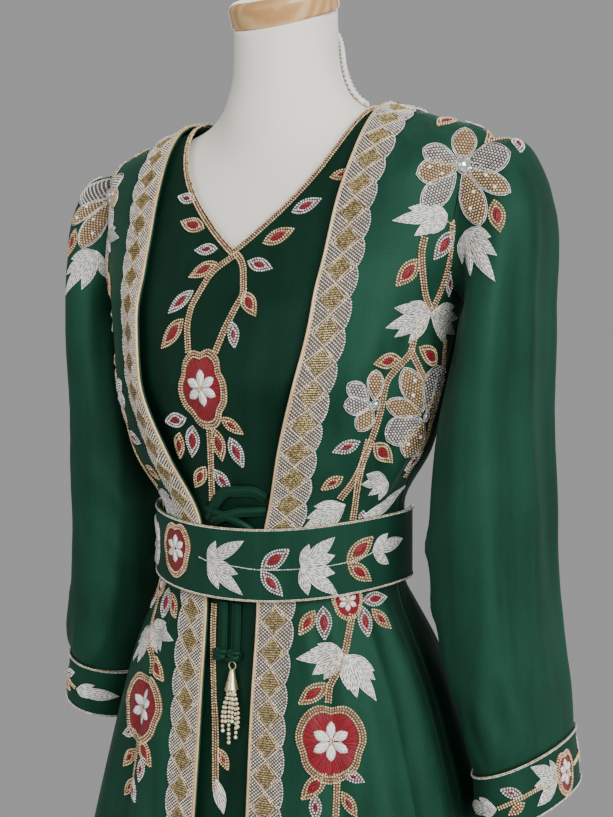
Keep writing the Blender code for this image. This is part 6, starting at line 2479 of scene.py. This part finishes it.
@dataclass
class Ties:
    """The robe's self-fabric tie: a crossed loop above the belt, two ends below it, and a bead tassel."""

    loops: tuple[tuple[tuple[float, float, float], ...], ...] = (
        (
            (-11.0, 6.95, 0.002), (-6.0, 6.66, 0.004), (1.0, 6.46, 0.004),
            (9.0, 6.46, 0.002), (15.5, 6.58, 0.0),
        ),
        ((-9.0, 6.97, 0.003), (-2.0, 6.84, 0.007), (6.0, 6.76, 0.005), (15.5, 6.76, 0.0)),
        ((-12.5, 6.76, 0.001), (-5.0, 6.80, 0.006), (3.0, 6.90, 0.007), (9.0, 7.04, 0.004)),
    )
    ends: dict[Side, float] = field(default_factory=lambda: {Side.LEFT: 0.0045, Side.RIGHT: -0.0095})
    levels: tuple[float, float] = (8.05, 8.60)
    knot: tuple[float, float, float] = (0.0056, 0.0032, 0.0034)
    top_z: float = 0.935
    long: float = 0.073
    strings: tuple[tuple[float, float], ...] = (
        *((-0.0074, 0.010), (-0.0010, 0.000), (0.0064, 0.006)),
        *((0.0026, 0.020), (-0.0044, 0.019), (0.0086, 0.016)),
    )
    cone_long: float = 0.0250
    loop_lift: float = 0.0030
    end_lift: float = 0.0042
    ring_radius: float = 0.0036
    skirt_radius: float = 0.0042
    width: float = 0.0105
    narrower: float = 0.0015

    @staticmethod
    def ribbon(name: str, centre: np.ndarray, normals: np.ndarray, width: float,
               nodes: Sequence[str]) -> None:
        """A soft strip with a fold down its middle."""
        across = unit(np.cross(np.gradient(centre, axis=0), normals))
        shares, fold, thick = np.linspace(-1.0, 1.0, 9), 0.0008, 0.0012
        ripple = fold * np.cos(shares * math.pi * 1.5)
        points = (centre[:, None] - across[:, None] * (shares * width / 2)[None, :, None]
                  + normals[:, None] * ripple[None, :, None])
        piece = add_piece(name, grid_mesh(name, points), TIE_CREPE, "green_satin", *nodes)
        thicken(piece, thick)

    @staticmethod
    def front(ground: Ground, x: float, z: float, lift: float) -> np.ndarray:
        """The point in front of the dress at a height."""
        return ground.lay(np.array([[x, -0.10, z]]), np.array([0.0, -1.0, 0.0]), lift)[0]

    def build(self) -> None:
        """Makes them."""
        ground = Ground("dress_front_cloth")
        for number, stations in enumerate(self.loops):
            table = smooth_table(np.array(stations), np.linspace(0, len(stations) - 1, 33))
            normals = DRESS.normal(table[:, 0], table[:, 1])
            centre = DRESS.place(table[:, 0], table[:, 1]) + normals * (table[:, 2] + self.loop_lift)[:, None]
            width, nodes = self.width - number * self.narrower, [] if number else ["tie_loop"]
            self.ribbon(f"tie_loop_{number}", centre, normals, width, nodes)
        for side, x in self.ends.items():
            levels = np.linspace(*self.levels, 17)
            angle = DRESS.angle_of(abs(x), levels) * math.copysign(1.0, x)
            normals = DRESS.normal(angle, levels)
            centre = DRESS.place(angle, levels) + normals * self.end_lift
            self.ribbon(f"tie_end_{side.word}_strip", centre, normals, self.width, [f"tie_end_{side.word}"])
            turn = np.linspace(0, 6 * math.pi, 73)
            coil = np.stack([np.cos(turn) * (1 + 0.12 * np.cos(turn * 1.5)) * self.knot[0],
                             np.sin(turn) * self.knot[1], np.sin(turn * 2 / 3) * self.knot[2]], -1)
            middle = self.front(ground, x, self.top_z + 0.0058, 0.0052)
            node = f"tie_knot_{side.word}"
            values = {"Radius": 0.0021, "Sides": 8, "Material": PALETTE.of(TIE_CREPE)}
            mesh = Workshop.run(f"{node}_coil", [coil + middle], thread_laying, **values)
            add_piece(mesh.name, mesh, TIE_CREPE, "green_satin", node)
        self.tassel(ground)

    def tassel(self, ground: Ground) -> None:
        """The ring, gold cone and bead strings under the left knot."""
        x = self.ends[Side.LEFT]
        top = self.front(ground, x, self.top_z, 0.0062)
        low = self.front(ground, x, self.top_z - self.long, 0.0052)
        hang = Vector(top - low).normalized()
        lean = Vector((0, 0, 1)).rotation_difference(hang).to_matrix().to_4x4()
        cone = turned_mesh("tassel_cone", CONE_PROFILE, 28)
        cone.transform(Matrix.Translation(top) @ lean)
        add_piece("tassel_cone", cone, CONE_METAL, "gold_beads", "tassel")
        work = Needlework("tassel", ground)
        turn = np.linspace(0, math.tau, 21)
        around = self.ring_radius
        ring = np.stack([np.cos(turn) * around, np.zeros_like(turn), np.sin(turn) * around - 0.0030], -1)
        work.sew(Supply.CORD, ring + top)
        root = top - np.array(hang) * self.cone_long
        for across, shorter in self.strings:
            tip = low + np.array([across, -0.0004, shorter])
            begin = root + np.array([across * 0.25, 0.0, 0.0])
            share = np.linspace(0.0, 1.0, 9)[:, None]
            bow = np.sin(share * math.pi) * np.array([across * 0.35, -0.0012, 0.0])
            work.sew(Supply.STRUNG, begin * (1 - share) + tip * share + bow)
            work.scatter(Supply.PEARL, tip[None])
        for number in range(10):
            turn = number * 2.4
            x, y = math.cos(turn) * self.skirt_radius, -0.0016 + math.sin(turn) * 0.0016
            work.scatter(Supply.STRUNG, (root + np.array([x, y, -0.0012 * (number % 4)]))[None])
        work.build()


@dataclass(frozen=True)
class Lamp:
    """A soft square light that shines at the chest."""

    name: str
    place: tuple[float, float, float]
    size: float
    power: float
    chest_z: float = 1.05

    def build(self) -> None:
        """Makes the light."""
        data = bpy.data.lights.new(self.name, "AREA")
        data.size = self.size
        data.energy = self.power
        lamp = linked(self.name, data)
        lamp.location = self.place
        away = Vector((0.0, 0.0, self.chest_z)) - Vector(self.place)
        lamp.rotation_euler = away.to_track_quat("-Z", "Y").to_euler()


@dataclass
class Studio:
    """Camera, light and floor."""

    view: Viewpoint = field(default_factory=Viewpoint)
    floor_radius: float = 1.62
    grey: float = 0.34
    lamps: tuple[Lamp, ...] = (
        Lamp("key", (2.5, -1.9, 2.3), 2.0, 160.0),
        Lamp("fill", (-0.8, -2.9, 1.9), 2.0, 24.0),
        Lamp("rim", (-1.2, 2.4, 2.2), 1.6, 34.0),
    )

    def build(self) -> None:
        """Makes them."""
        self.view.camera()
        for lamp in self.lamps:
            lamp.build()
        world = bpy.data.worlds.new("studio")
        world.use_nodes = True
        background = world.node_tree.nodes["Background"]
        background.inputs["Color"].default_value = (self.grey, self.grey, self.grey, 1.0)
        bpy.context.scene.world = world
        rings = [unit_ring(96) * radius for radius in (0.001, 0.8, self.floor_radius)]
        mesh = grid_mesh("floor", np.array(rings), closed=True)
        mesh.transform(Matrix.Translation((0.0, 0.0, -0.0005)))
        mesh.materials.append(PALETTE.of(FLOOR_PAINT))
        linked("floor", mesh)


def main() -> None:
    """Builds the dressed form."""
    logging.basicConfig(level=logging.INFO, format="%(name)s: %(message)s")
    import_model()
    Studio().build()
    DressForm().build()
    dress = InnerDress().build()
    robe = OuterRobe().build()
    cuff, hang = Sleeves().build()
    belt = Sash().build()
    Borders(robe).build()
    DressVine(dress).build()
    RobeVine().build()
    NeckBraid().build()
    BeltWork(belt).build()
    CuffWork(cuff, hang).build()
    Ties().build()


if __name__ == "__main__":
    main()
